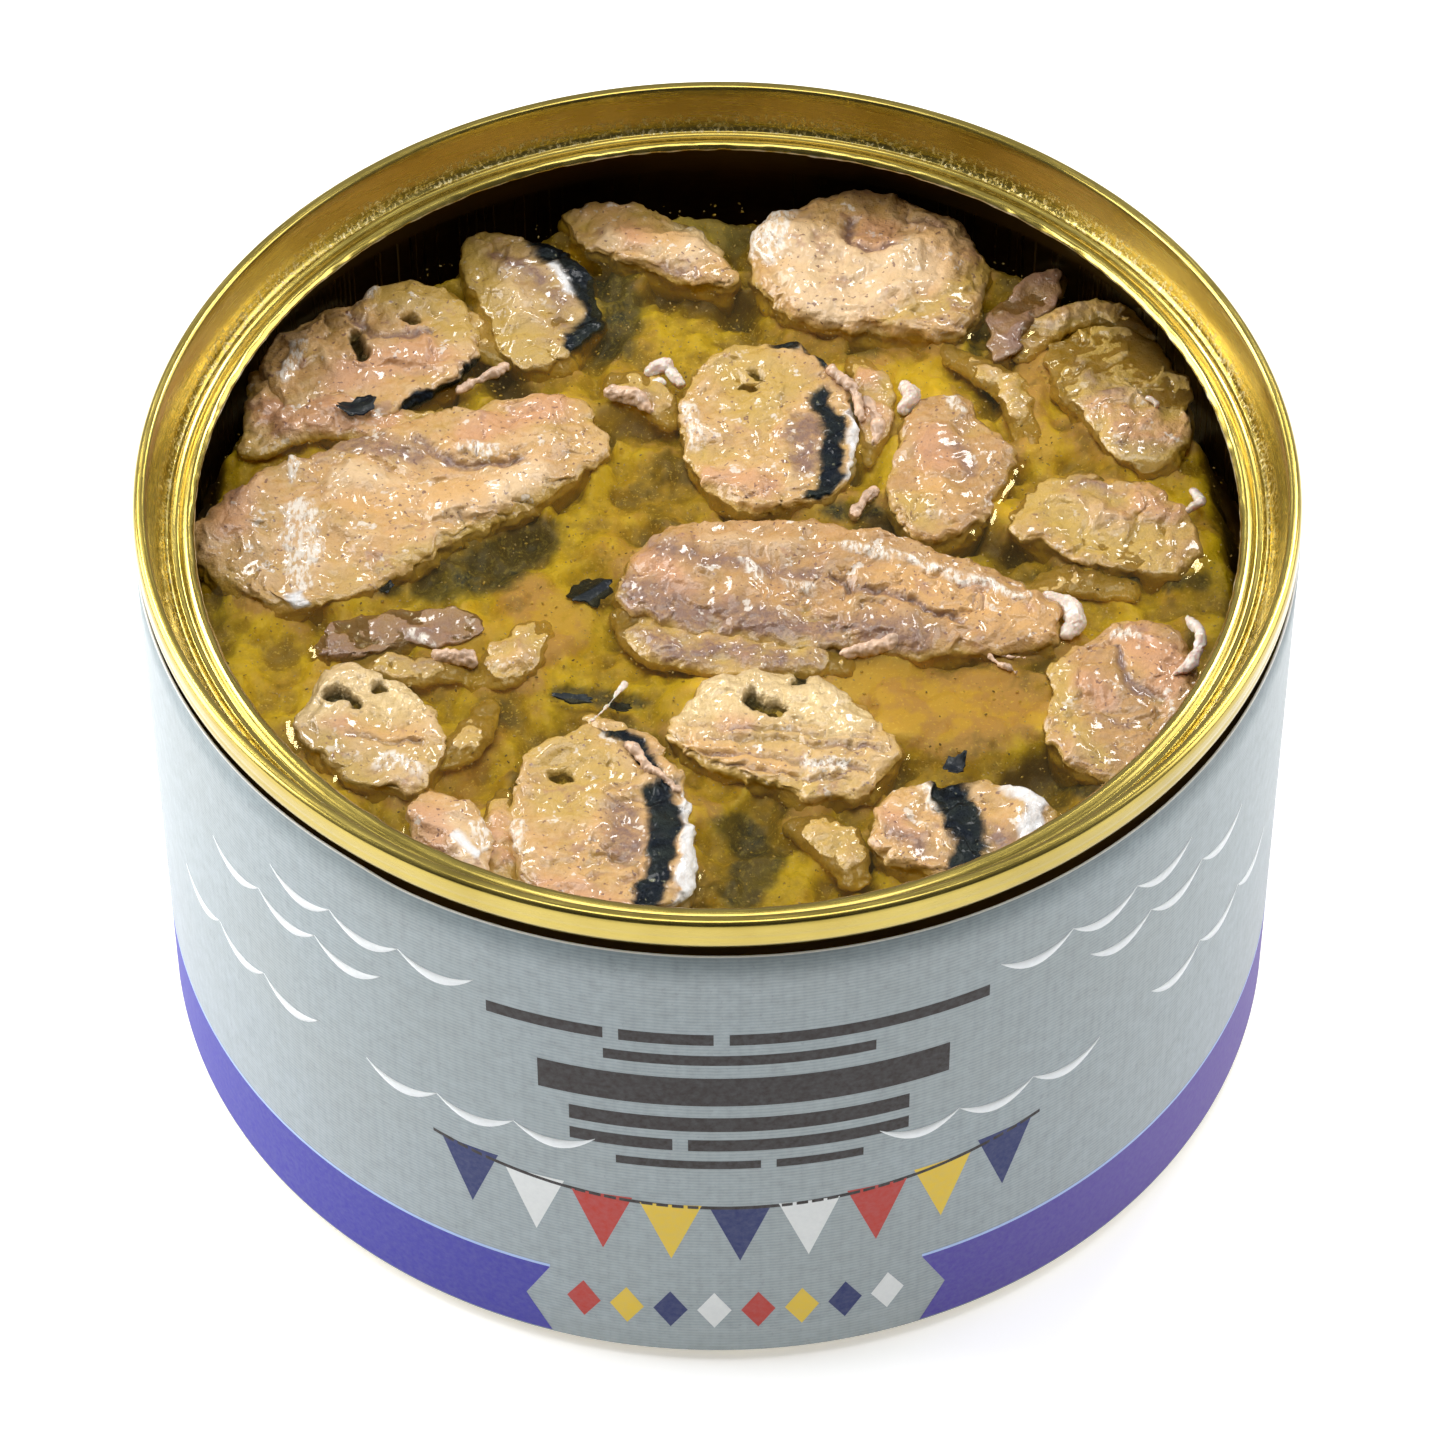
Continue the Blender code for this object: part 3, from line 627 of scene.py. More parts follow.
def lacquer_material():
    """Gold lacquered tinplate: brushed round the axis, scratched at the groove, dark inside, where darker
    lacquer and painted shade are laid together.
    """
    look = active_settings().metal
    material, tree, shader, coords = new_material(
        "gold_lacquer_fine", metallic=1.0, roughness=0.22, coat_weight=0.45, coat_roughness=0.10)
    angle, radius, height = round_coords(tree, coords)
    fine = noise(tree, joined(tree, times(tree, angle, 0.0015), radius, height), 9000.0, 2.0, 0.6)
    cloud = noise(tree, coords, 130.0, 3.0)
    scratch_coords = joined(tree, times(tree, angle, 0.043), times(tree, radius, 0.35), height)
    scratches = between(tree, noise(tree, scratch_coords, 3200.0, 4.0, 0.7), 0.52, 0.64)
    groove = times(tree, between(tree, radius, 0.0409, 0.0411), between(tree, radius, 0.04175, 0.04155))
    worn = times(tree, scratches, groove)
    edge = between(tree, radius, 0.03896, 0.03888)
    # Painted shade with darker lacquer: the inner wall below the neck
    inside = times(tree, between(tree, radius, 0.04280, 0.04275), between(tree, height, 0.0480, 0.0476))
    inside = times(tree, inside, between(tree, height, 0.0012, 0.0014))
    colour = blend(tree, between(tree, cloud, 0.35, 0.7), look.gold, look.gold_deep)
    colour = overlaid(tree, colour, (
        (worn, 0.6, (0.86, 0.80, 0.62)),
        (edge, 1.0, (0.92, 0.92, 0.90)),
        (inside, 1.0, look.inside_lacquer_and_shade)))
    tree.links.new(colour, shader.inputs["Base Color"])
    rough = between(tree, fine, 0.3, 0.7, 0.15, 0.30)
    for mask, share in ((worn, 0.12), (inside, 0.35), (edge, 0.25)):
        rough = maths(tree, "ADD", rough, times(tree, mask, share))
    tree.links.new(rough, shader.inputs["Roughness"])
    bump(tree, shader, maths(tree, "ADD", times(tree, fine, 0.05), worn), 0.00003, 0.4)
    return material


def paper_material():
    """Pale blue-grey label paper with a linen grain, small dark flecks and a printed sheen."""
    look = active_settings().label
    material, tree, shader, coords = new_material(
        "label_paper_fine", roughness=0.42, coat_weight=0.25, coat_roughness=0.25)
    threads = add(tree, "ShaderNodeTexWave",
                  {"Vector": coords, "Scale": 900.0, "Distortion": 1.5, "Detail": 2.0},
                  wave_type="BANDS", bands_direction="Z").outputs["Fac"]
    mottled = noise(tree, coords, 900.0, 4.0, 0.65)
    drift = noise(tree, coords, 60.0, 3.0, 0.5)
    flecks = between(tree, noise(tree, coords, 2600.0, 2.0, 0.6), 0.62, 0.72)
    raw_edge = between(tree, round_coords(tree, coords)[1], 0.04343, 0.04338)
    colour = blend(tree, between(tree, mottled, 0.3, 0.7), look.paper, look.paper_dark)
    colour = overlaid(tree, colour, (
        (between(tree, drift, 0.4, 0.75, 0.0, 0.35), 1.0, look.paper_warm),
        (threads, 0.10, (0.80, 0.86, 0.88)),
        (flecks, 0.35, (0.16, 0.18, 0.19)),
        (raw_edge, 1.0, (0.86, 0.86, 0.84))))
    tree.links.new(colour, shader.inputs["Base Color"])
    bump(tree, shader, maths(tree, "ADD", times(tree, threads, 0.5), mottled), 0.00004, 0.5)
    return material


def print_material(name, ink, side_ink=None):
    """Printing ink on the paper: slightly mottled, and fading to another ink at the right if given."""
    material, tree, shader, coords = new_material(
        name, roughness=0.55, coat_weight=0.05, coat_roughness=0.3, specular_ior_level=0.25)
    mottle = between(tree, noise(tree, coords, 2200.0, 3.0, 0.6), 0.3, 0.8, 0.0, 0.14)
    colour = ink
    if side_ink is not None:
        colour = blend(tree, between(tree, parted(tree, coords)["X"], 0.0, FADE_END), ink, side_ink)
    colour = blend(tree, mottle, colour, (0.34, 0.38, 0.42))
    tree.links.new(colour, shader.inputs["Base Color"])
    bump(tree, shader, noise(tree, coords, 900.0, 4.0, 0.65), 0.00003, 0.5)
    return material


def oil_depth(tree, coords):
    """How far a point lies under the oil's surface, in metres."""
    return maths(tree, "SUBTRACT", OIL_LEVEL * MM, parted(tree, coords)["Z"])


def steeped(tree, coords, colour, reach):
    """The colour of a thing in the oil: gold just under the surface, olive and then brown deeper."""
    look = active_settings().oil
    depth = oil_depth(tree, coords)
    cloud = noise(tree, coords, 260.0, 4.0, 0.6)
    near = blend(tree, between(tree, cloud, 0.38, 0.66), look.olive, look.gold)
    sight = between(tree, depth, 0.0, reach)
    mixed = blend(tree, maths(tree, "POWER", sight, 0.6), colour, near)
    return blend(tree, between(tree, depth, 0.0010, 0.0042), mixed, look.deep)


def skin_colour(tree, coords):
    """Blue-black back skin with olive and grey flecks."""
    dots = noise(tree, coords, 1500.0, 3.0, 0.7)
    patch = noise(tree, coords, 480.0, 3.0, 0.6)
    base = blend(tree, between(tree, patch, 0.4, 0.65), (0.003, 0.006, 0.011), (0.016, 0.021, 0.018))
    return blend(tree, between(tree, dots, 0.64, 0.72), base, (0.17, 0.17, 0.11))


def flesh_material(name, first, second, sheen, light=None, low=None):
    """Cooked fish: mottled, with the tissues of the piece's own fields, steeped below the oil. Ridges get a
    painted highlight, hollows and pits painted shade, and just above the oil the flesh is yellowed and
    partly shaded.
    """
    look = active_settings().flesh
    light = light or look.pale_flesh_and_highlight
    low = low or look.soaked
    material, tree, shader, coords = new_material(
        name, roughness=0.38, coat_weight=sheen, coat_roughness=0.09)
    skin, fat, brown = channels(tree, "tissue")
    silver, pink, soak = channels(tree, "finish")
    amber, pale, white = channels(tree, "soft")
    # The relief attribute: painted highlight on ridges, painted shade in hollows, and the pits
    painted_ridge_highlight, painted_hollow_shade, pit = channels(tree, "relief")
    lumps = noise(tree, coords, 420.0, 4.0, 0.6)
    grain = noise(tree, coords, 1900.0, 4.0, 0.65)
    shaded = between(tree, noise(tree, coords, 800.0, 3.0, 0.6), 0.55, 0.75, 0.0, 0.4)
    blotches = between(tree, noise(tree, coords, 1300.0, 3.0, 0.7), 0.3, 0.56, 0.35, 1.0)
    specks = between(tree, noise(tree, coords, 2400.0, 1.0, 0.5), 0.675, 0.71)
    # White flecks of fat, which also serve as painted glint spots on the wet flesh
    curds = between(tree, noise(tree, coords, 620.0, 3.0, 0.7), 0.63, 0.68)
    rusty = between(tree, noise(tree, coords, 330.0, 3.0, 0.75), 0.60, 0.68)
    rise = times(tree, oil_depth(tree, coords), -1.0)
    wet = maths(tree, "ADD", rise, between(tree, lumps, 0.3, 0.7, -0.0004, 0.0004))
    fibres = noise(tree, stretched(tree, coords, (1.0, 0.35, 1.0)), 3200.0, 3.0, 0.6)
    fat_fibres = times(tree, fat, between(tree, fibres, 0.43, 0.56, 0.10, 0.92))
    white_fibres = times(tree, white, between(tree, fibres, 0.3, 0.6, 0.75, 1.0))
    foil = blend(tree, between(tree, fibres, 0.35, 0.7), (0.80, 0.62, 0.34), (0.60, 0.43, 0.18))
    colour = blend(tree, between(tree, lumps, 0.36, 0.66), first, second)
    colour = overlaid(tree, colour, (
        (between(tree, grain, 0.45, 0.75, 0.0, 0.45), 1.0, light),
        (shaded, 1.0, look.flesh_shade),
        # Painted shade in the hollows and painted highlight on the ridges
        (painted_hollow_shade, 0.75, look.flesh_shade),
        (painted_ridge_highlight, 0.45, light),
        (pale, 0.75, light),
        (amber, 0.7, look.amber),
        (pink, 0.65, look.pink),
        (soak, 0.75, look.soaked),
        (times(tree, brown, blotches), 1.0, look.brown),
        (specks, 0.8, (0.17, 0.07, 0.04)),
        (curds, 0.7, look.fat),
        (rusty, 0.55, (0.34, 0.16, 0.09)),
        # Just above the oil the flesh turns to the soaked colour: oil-yellowed flesh, and painted shade low
        # on the sides
        (between(tree, wet, 0.0, 0.0007, 0.88, 0.0), 1.0, low),
        (fat_fibres, 1.0, look.fat),
        (white_fibres, 1.0, (0.80, 0.79, 0.78)),
        (silver, 0.7, foil),
        (skin, 1.0, skin_colour(tree, coords)),
        # Painted shade: the pits near-black
        (pit, 1.0, (0.035, 0.024, 0.003))))
    tree.links.new(steeped(tree, coords, colour, 0.0013), shader.inputs["Base Color"])
    dark = maths(tree, "MAXIMUM", skin, pit)
    metal = maths(tree, "MAXIMUM", times(tree, silver, 0.3), times(tree, dark, 0.85))
    tree.links.new(metal, shader.inputs["Metallic"])
    tree.links.new(between(tree, grain, 0.3, 0.7, 0.24, 0.50), shader.inputs["Roughness"])
    tree.links.new(between(tree, dark, 0.0, 1.0, sheen, 0.10), shader.inputs["Coat Weight"])
    bump(tree, shader, maths(tree, "ADD", grain, times(tree, lumps, 1.2)), 0.00024, 0.8)
    return material


def bed_material():
    """What shows through the oil between the pieces: sunk flesh, skin and cloudy golden oil, with painted
    light, painted shade and painted glint specks in its colour.
    """
    look = active_settings().oil
    material, tree, shader, coords = new_material("sunk_bed", roughness=0.55)
    skin, _, brown = channels(tree, "tissue")
    silver, _, _ = channels(tree, "finish")
    amber, pale, deep = channels(tree, "soft")
    # A large cloud that places painted patches of light and of shade on the bed
    light_and_shade_cloud = noise(tree, coords, 150.0, 4.0, 0.6)
    lumps = noise(tree, coords, 460.0, 4.0, 0.68)
    grain = noise(tree, coords, 2600.0, 3.0, 0.7)
    lumpy = between(tree, lumps, 0.25, 0.75, -0.0009, 0.0009)
    depth = maths(tree, "ADD", oil_depth(tree, coords), lumpy)
    pale_lumps = times(tree, pale, between(tree, lumps, 0.3, 0.6, 0.6, 1.0))
    gilded = maths(tree, "SUBTRACT", between(tree, depth, 0.0001, 0.0012), times(tree, pale, 0.65))
    # Painted light: bright yellow patches where the cloud is high, fewer on the pale flesh
    painted_lit_patches = maths(tree, "SUBTRACT", between(tree, light_and_shade_cloud, 0.44, 0.54, 0.0, 0.9), times(tree, pale, 0.5))
    # Painted glint specks: small bright gold spots laid into the colour
    glints = between(tree, noise(tree, coords, 3800.0, 2.0, 0.6), 0.60, 0.70)
    dust = between(tree, noise(tree, coords, 3100.0, 2.0, 0.7), 0.66, 0.76)
    torn = between(tree, lumps, 0.34, 0.50, 1.0, 0.75)
    dark_skin = blend(tree, between(tree, grain, 0.52, 0.66), (0.016, 0.019, 0.010), (0.22, 0.19, 0.04))
    colour = blend(tree, between(tree, lumps, 0.36, 0.64), look.sunk_flesh, look.gold)
    colour = overlaid(tree, colour, (
        (pale_lumps, 1.0, look.sunk_flesh),
        (gilded, 1.0, look.gold),
        (painted_lit_patches, 1.0, look.bright),
        (between(tree, depth, 0.0009, 0.0021), 1.0, look.olive),
        # Painted shade: darker olive oil where the large cloud is low
        (between(tree, light_and_shade_cloud, 0.45, 0.35, 0.0, 0.8), 1.0, look.murk_and_painted_shade),
        (amber, 0.6, (0.50, 0.24, 0.04)),
        (brown, 0.6, (0.22, 0.12, 0.05)),
        (silver, 0.6, (0.46, 0.42, 0.20)),
        (between(tree, depth, 0.0019, 0.0038), 1.0, look.murk_and_painted_shade),
        (glints, 0.7, (0.90, 0.70, 0.13)),
        (dust, 0.5, (0.10, 0.07, 0.01)),
        (between(tree, depth, 0.0034, 0.0062), 1.0, look.deep),
        (times(tree, skin, torn), 1.0, dark_skin),
        # Painted shade: the deep marks dark brown between the pieces
        (deep, 0.8, look.deep)))
    tree.links.new(colour, shader.inputs["Base Color"])
    bump(tree, shader, maths(tree, "ADD", lumps, times(tree, grain, 0.3)), 0.0004, 0.5)
    return material


def oil_material():
    """The oil's clear surface: a faint gold film that mirrors light at grazing angles."""
    material = bpy.data.materials.new("oil_surface")
    material.use_nodes = True
    tree = material.node_tree
    tree.nodes.remove(tree.nodes["Principled BSDF"])
    output = tree.nodes["Material Output"]
    clear = add(tree, "ShaderNodeBsdfTransparent", {"Color": (0.99, 0.95, 0.78, 1.0)}).outputs["BSDF"]
    gloss = add(tree, "ShaderNodeBsdfGlossy",
                {"Color": (1.0, 0.88, 0.45, 1.0), "Roughness": 0.05}).outputs["BSDF"]
    share = add(tree, "ShaderNodeFresnel", {"IOR": 1.47}).outputs["Fac"]
    mixed = add(tree, "ShaderNodeMixShader", {0: share, 1: clear, 2: gloss}).outputs["Shader"]
    tree.links.new(mixed, output.inputs["Surface"])
    return material


def speck_material(name, colour, roughness=0.4):
    """Small bits of fish in one colour, steeped below the oil."""
    material, tree, shader, coords = new_material(name, roughness=roughness, coat_weight=0.3,
                                                  coat_roughness=0.1)
    mottle = between(tree, noise(tree, coords, 900.0, 2.0), 0.35, 0.65)
    tint = blend(tree, mottle, colour, tuple(c * 0.6 for c in colour))
    tree.links.new(steeped(tree, coords, tint, 0.0016), shader.inputs["Base Color"])
    bump(tree, shader, noise(tree, coords, 3500.0, 3.0), 0.0001, 0.6)
    return material


def torn_skin_material():
    """The back skin of the loose scraps."""
    material, tree, shader, coords = new_material(
        "torn_skin", roughness=0.35, coat_weight=0.06, coat_roughness=0.1, specular_ior_level=0.25)
    tree.links.new(skin_colour(tree, coords), shader.inputs["Base Color"])
    bump(tree, shader, noise(tree, coords, 1800.0, 3.0), 0.00015, 0.8)
    return material


def curd_material():
    """White fat and gristle, soft in the light."""
    material, tree, shader, coords = new_material(
        "white_curd", roughness=0.22, subsurface_weight=0.35, subsurface_scale=0.0015,
        coat_weight=0.6, coat_roughness=0.08)
    mottle = between(tree, noise(tree, coords, 700.0, 3.0), 0.35, 0.65)
    tint = blend(tree, mottle, (0.76, 0.67, 0.59), (0.60, 0.47, 0.37))
    tree.links.new(steeped(tree, coords, tint, 0.004), shader.inputs["Base Color"])
    bump(tree, shader, noise(tree, coords, 1500.0, 3.0), 0.0001, 0.5)
    return material


# Settings that a user would change

def colour_property(name, description, default):
    return bpy.props.FloatVectorProperty(name=name, description=description, subtype="COLOR", size=3,
                                         min=0.0, max=1.0, default=default)


def length_property(name, description, default):
    return bpy.props.FloatProperty(name=name, description=description, subtype="DISTANCE", unit="LENGTH",
                                   min=0.0, precision=5, default=default)


class TinMetalSettings(bpy.types.PropertyGroup):
    gold: colour_property("Gold", "Gold lacquer over the tinplate", (0.50, 0.387, 0.088))
    gold_deep: colour_property("Deep gold", "Lacquer where it lies thicker", (0.415, 0.31, 0.057))
    # Darker inner lacquer, and also painted shade on the inner wall
    inside_lacquer_and_shade: colour_property("Inside lacquer", "Dark lacquer on the inner wall", (0.10, 0.05, 0.008))
    edge_raggedness: length_property("Edge raggedness", "How far the cut edge wanders in and out", 0.00005)
    steps: bpy.props.IntProperty(name="Steps", description="Facets round the tin", min=48, max=720,
                                 default=360)


class TinLabelSettings(bpy.types.PropertyGroup):
    paper: colour_property("Paper", "Blue-grey of the label", (0.28, 0.34, 0.365))
    paper_dark: colour_property("Paper grain", "Darker grain of the label", (0.20, 0.25, 0.265))
    paper_warm: colour_property("Paper drift", "Greener grey where the print drifts", (0.24, 0.27, 0.255))
    band: colour_property("Band", "Blue-violet of the band along the base", (0.045, 0.037, 0.36))
    band_side: colour_property("Band side", "The band's violet at the right", (0.12, 0.07, 0.34))
    mark_white: colour_property("White print", "White of the scallop lines", (0.84, 0.87, 0.88))
    band_height: length_property("Band height", "Upper edge of the band above the floor", 0.0094)
    scallop_span: bpy.props.FloatProperty(name="Scallop span", description="Angle that one scallop takes",
                                          subtype="ANGLE", default=math.radians(8.2))
    scallop_sag: length_property("Scallop sag", "How far a scallop hangs between its cusps", 0.0014)


class TinFleshSettings(bpy.types.PropertyGroup):
    flesh_warm: colour_property("Warm flesh", "Peach of the cooked flesh", (0.60, 0.328, 0.115))
    flesh_cool: colour_property("Cool flesh", "Beige of the cooked flesh", (0.49, 0.288, 0.072))
    # Also the painted highlight on the flesh's ridges
    pale_flesh_and_highlight: colour_property("Light flesh", "Palest flakes", (0.76, 0.54, 0.31))
    # Also the painted shade in the flesh's hollows
    flesh_shade: colour_property("Shaded flesh", "Greyer flesh between the flakes", (0.32, 0.165, 0.075))
    pink: colour_property("Pink flesh", "Pinker lumps", (0.60, 0.29, 0.145))
    amber: colour_property("Amber flesh", "Orange flesh near the oil", (0.64, 0.35, 0.11))
    # Also the band just above the oil, which is partly painted shade
    soaked: colour_property("Soaked flesh", "Flesh yellowed by the oil", (0.50, 0.32, 0.055))
    brown: colour_property("Brown muscle", "Dark muscle and blood", (0.22, 0.115, 0.07))
    fat: colour_property("Fat", "White fat and fibres", (0.84, 0.76, 0.65))
    voxel: length_property("Fineness", "Grid of the fish pieces' meshes", 0.00022)


class TinOilSettings(bpy.types.PropertyGroup):
    gold: colour_property("Gold oil", "Cloudy golden oil", (0.70, 0.46, 0.016))
    olive: colour_property("Olive oil", "Olive shade of the oil", (0.42, 0.27, 0.006))
    # Painted light: the colour of the lit patches on the sunk bed
    bright: colour_property("Bright oil", "Lit yellow oil", (0.90, 0.68, 0.015))
    # Darker oil deep down, and also painted shade in patches on the sunk bed
    murk_and_painted_shade: colour_property("Murky oil", "Darker, greener oil", (0.15, 0.10, 0.006))
    # Also the painted shade of the deep marks between the pieces
    deep: colour_property("Deep oil", "Brown of the deep oil at the wall", (0.075, 0.034, 0.003))
    sunk_flesh: colour_property("Sunk flesh", "Flesh seen through the oil", (0.68, 0.42, 0.13))
    meniscus: length_property("Meniscus", "How high the oil creeps up what stands in it", 0.0002)


class TinStudioSettings(bpy.types.PropertyGroup):
    lens: bpy.props.FloatProperty(name="Lens", description="Focal length for a 36 mm sensor", default=152.47)
    key: bpy.props.FloatProperty(name="Side lights", description="Power of the two side softboxes",
                                 unit="POWER", default=2.2)
    top: bpy.props.FloatProperty(name="Top light", description="Power of the softbox straight above",
                                 unit="POWER", default=1.12)
    glint: bpy.props.FloatProperty(name="Glint lights",
                                   description="Power of the two small lights that make the wet glints",
                                   unit="POWER", default=0.8)
    ambient: bpy.props.FloatProperty(name="Ambient", description="Strength of the even light", default=0.40)


class FishTinSettings(bpy.types.PropertyGroup):
    metal: bpy.props.PointerProperty(type=TinMetalSettings)
    label: bpy.props.PointerProperty(type=TinLabelSettings)
    flesh: bpy.props.PointerProperty(type=TinFleshSettings)
    oil: bpy.props.PointerProperty(type=TinOilSettings)
    studio: bpy.props.PointerProperty(type=TinStudioSettings)


def shared_material(name, maker, *values):
    """A material by name, made the first time it is asked for."""
    return bpy.data.materials.get(name) or maker(*values)


# Pieces

BODY_RADIUS = 42.95
NECK_RADIUS = 42.2
NECK_START = 45.6
WALL = 0.3
LABEL_RADIUS = 43.45
LABEL_THICKNESS = 0.25
LABEL_FOOT = 1.3
MOUTH_RADIUS = 38.84
SEAM_RADIUS = 43.35
SEAM_FOOT = 48.7
LEDGE = 48.3
# How far ink stands out from the paper, and the foot of the band along the base, in millimetres
INK_LIFT = 0.012
BAND_FOOT = 1.45
# The band's ends and the depth of its swallowtails in degrees, and the columns a swallowtail takes
BAND_START = -69.6
BAND_END = 253.0
SWALLOWTAIL = 2.6
NOTCH_COLUMNS = 6.0
# How far to the right the band's violet is full, and a scallop's breadth and relief, in metres
FADE_END = 0.04
SCALLOP_THICKNESS = 0.00092
SCALLOP_DEPTH = 0.00006


class FISHTIN_OT_can(bpy.types.Operator):
    """Makes the can: straight wall, narrower neck, rounded foot and raised base panel"""
    bl_idname = "fishtin.can"
    bl_label = "Can"

    def execute(self, context):
        neck_top = SEAM_FOOT - WALL
        inner = BODY_RADIUS - WALL
        outside = [(0.0, 1.2), (20.0, 1.2), (20.6, 1.45), (22.0, 1.45), (22.6, 1.2), (39.5, 1.2),
                   (40.6, 0.02), (42.15, 0.0), (BODY_RADIUS, 0.8), (BODY_RADIUS, NECK_START),
                   (NECK_RADIUS, 47.5), (NECK_RADIUS, neck_top)]
        inside = [(NECK_RADIUS - WALL, neck_top), (NECK_RADIUS - WALL, 47.5), (inner, NECK_START),
                  (inner, 0.9), (42.1, 0.3), (40.9, 0.3), (39.7, 1.5), (22.6, 1.5), (22.0, 1.75),
                  (20.6, 1.75), (20.0, 1.5), (0.0, 1.5)]
        profile = rounded(outside, 0.5) + rounded(inside, 0.5)
        obj = turned("can_shell", profile, active_settings().metal.steps, False)
        settle(obj, "gold_lacquer", shared_material("gold_lacquer_fine", lacquer_material), "can_body")
        return {"FINISHED"}


class FISHTIN_OT_ring(bpy.types.Operator):
    """Makes what the opener leaves of the lid: seam, sloping wall, groove, lip and ragged cut edge"""
    bl_idname = "fishtin.ring"
    bl_label = "End ring"

    def execute(self, context):
        metal = active_settings().metal
        top = TIN_TOP
        seam = [(42.3, top - 0.35), (42.42, top - 0.08), (42.62, top), (43.02, top - 0.02),
                (43.25, top - 0.22), (SEAM_RADIUS, top - 0.55), (SEAM_RADIUS, top - 1.2),
                (SEAM_RADIUS - 0.04, top - 1.5), (SEAM_RADIUS, top - 1.8),
                (SEAM_RADIUS - 0.02, top - 2.2), (SEAM_RADIUS - 0.16, top - 2.6),
                (SEAM_RADIUS - 0.4, SEAM_FOOT), (42.32, SEAM_FOOT)]
        under = [(41.75, SEAM_FOOT + 0.1), (41.45, LEDGE - 0.5), (40.95, LEDGE - 0.68), (40.5, LEDGE - 0.32),
                 (39.6, LEDGE - 0.24), (39.1, LEDGE - 0.3), (MOUTH_RADIUS + 0.03, LEDGE - 0.42)]
        upper = [(MOUTH_RADIUS, LEDGE - 0.32), (MOUTH_RADIUS + 0.06, LEDGE - 0.2), (39.1, LEDGE - 0.02),
                 (39.45, LEDGE + 0.1), (39.85, LEDGE + 0.02), (40.15, LEDGE - 0.16), (40.4, LEDGE - 0.12),
                 (40.62, LEDGE - 0.02), (40.85, LEDGE - 0.32), (41.05, LEDGE - 0.38),
                 (41.28, LEDGE - 0.1), (41.45, LEDGE + 0.35), (42.12, top - 0.9)]
        profile = rounded(seam + under + upper, 0.12, 3)
        steps = 2 * metal.steps
        obj = turned("cut_ring", profile, steps, True)
        points = read_points(obj.data) / MM
        radius = np.hypot(points[:, 0], points[:, 1])
        angle = np.arctan2(points[:, 1], points[:, 0])
        circle = np.c_[np.cos(angle), np.sin(angle), np.zeros(len(angle))]
        ragged = layered_noise(circle * 38.0, 1.3, 5, 3) + 0.6 * layered_noise(circle * 38.0, 9.0, 9, 2)
        near_edge = 1.0 - smooth_step(MOUTH_RADIUS + 0.05, MOUTH_RADIUS + 0.5, radius)
        push = metal.edge_raggedness / MM * ragged * near_edge + 0.08 * near_edge
        points[:, :2] *= (1.0 + push / radius)[:, None]
        points[:, 2] += 0.10 * near_edge * layered_noise(circle * 38.0, 2.1, 21, 2)
        groove = np.exp(-((radius - 41.0) / 0.35) ** 2)
        points[:, 2] += 0.035 * groove * layered_noise(circle * 41.0, 0.8, 33, 2)
        write_points(obj.data, points * MM)
        settle(obj, "gold_lacquer", shared_material("gold_lacquer_fine", lacquer_material), "end_ring")
        return {"FINISHED"}


def label_top(azimuth):
    """Height of the label's upper edge in millimetres, at an azimuth in radians."""
    from_step = math.degrees(azimuth) + 124.0
    step = 0.55 / (1.0 + math.exp(from_step / 5.0 * 4.0))
    rise = step if from_step > -50.0 else 0.55
    return 47.9 + rise * 0.8 + 0.12 * math.sin(3.0 * azimuth + 0.6)


class FISHTIN_OT_label(bpy.types.Operator):
    """Makes the paper sleeve round the can, with its uneven upper edge and glued overlap"""
    bl_idname = "fishtin.label"
    bl_label = "Label"

    def execute(self, context):
        steps = active_settings().metal.steps
        rows = 14
        bm = bmesh.new()
        uv = bm.loops.layers.uv.new("OFBake")
        outer = []
        inner = []
        for step in range(steps):
            azimuth = math.tau * step / steps - math.pi
            top = label_top(azimuth)
            lap = 0.12 * math.exp(-((math.degrees(azimuth) - 96.0) / 4.0) ** 2)
            for ring, radius in ((outer, LABEL_RADIUS - 0.02 + lap * 0.1),
                                 (inner, LABEL_RADIUS - LABEL_THICKNESS)):
                column = []
                for row in range(rows + 1):
                    height = LABEL_FOOT + (top - LABEL_FOOT) * row / rows
                    column.append(bm.verts.new((radius * MM * math.cos(azimuth),
                                                radius * MM * math.sin(azimuth), height * MM)))
                ring.append(column)
        bm.verts.index_update()

        def face(corners, left, right, low, high):
            made = bm.faces.new(corners)
            places = ((left, low), (right, low), (right, high), (left, high))
            for loop, place in zip(made.loops, places):
                loop[uv].uv = place

        for step in range(steps):
            after = (step + 1) % steps
            u0 = 0.01 + 0.98 * step / steps
            u1 = 0.01 + 0.98 * (step + 1) / steps
            for row in range(rows):
                v0 = 0.30 + 0.30 * row / rows
                v1 = 0.30 + 0.30 * (row + 1) / rows
                above = row + 1
                face((outer[step][row], outer[after][row], outer[after][above], outer[step][above]),
                     u0, u1, v0, v1)
                face((inner[step][above], inner[after][above], inner[after][row], inner[step][row]),
                     u0, u1, v1 + 0.32, v0 + 0.32)
            face((outer[step][rows], outer[after][rows], inner[after][rows], inner[step][rows]),
                 u0, u1, 0.20, 0.21)
            face((inner[step][0], inner[after][0], outer[after][0], outer[step][0]), u0, u1, 0.10, 0.11)
        mesh = bpy.data.meshes.new("paper_label")
        bm.to_mesh(mesh)
        bm.free()
        mesh.shade_smooth()
        settle(new_object("paper_label", mesh), "label_paper", paper_material(), "label")
        return {"FINISHED"}


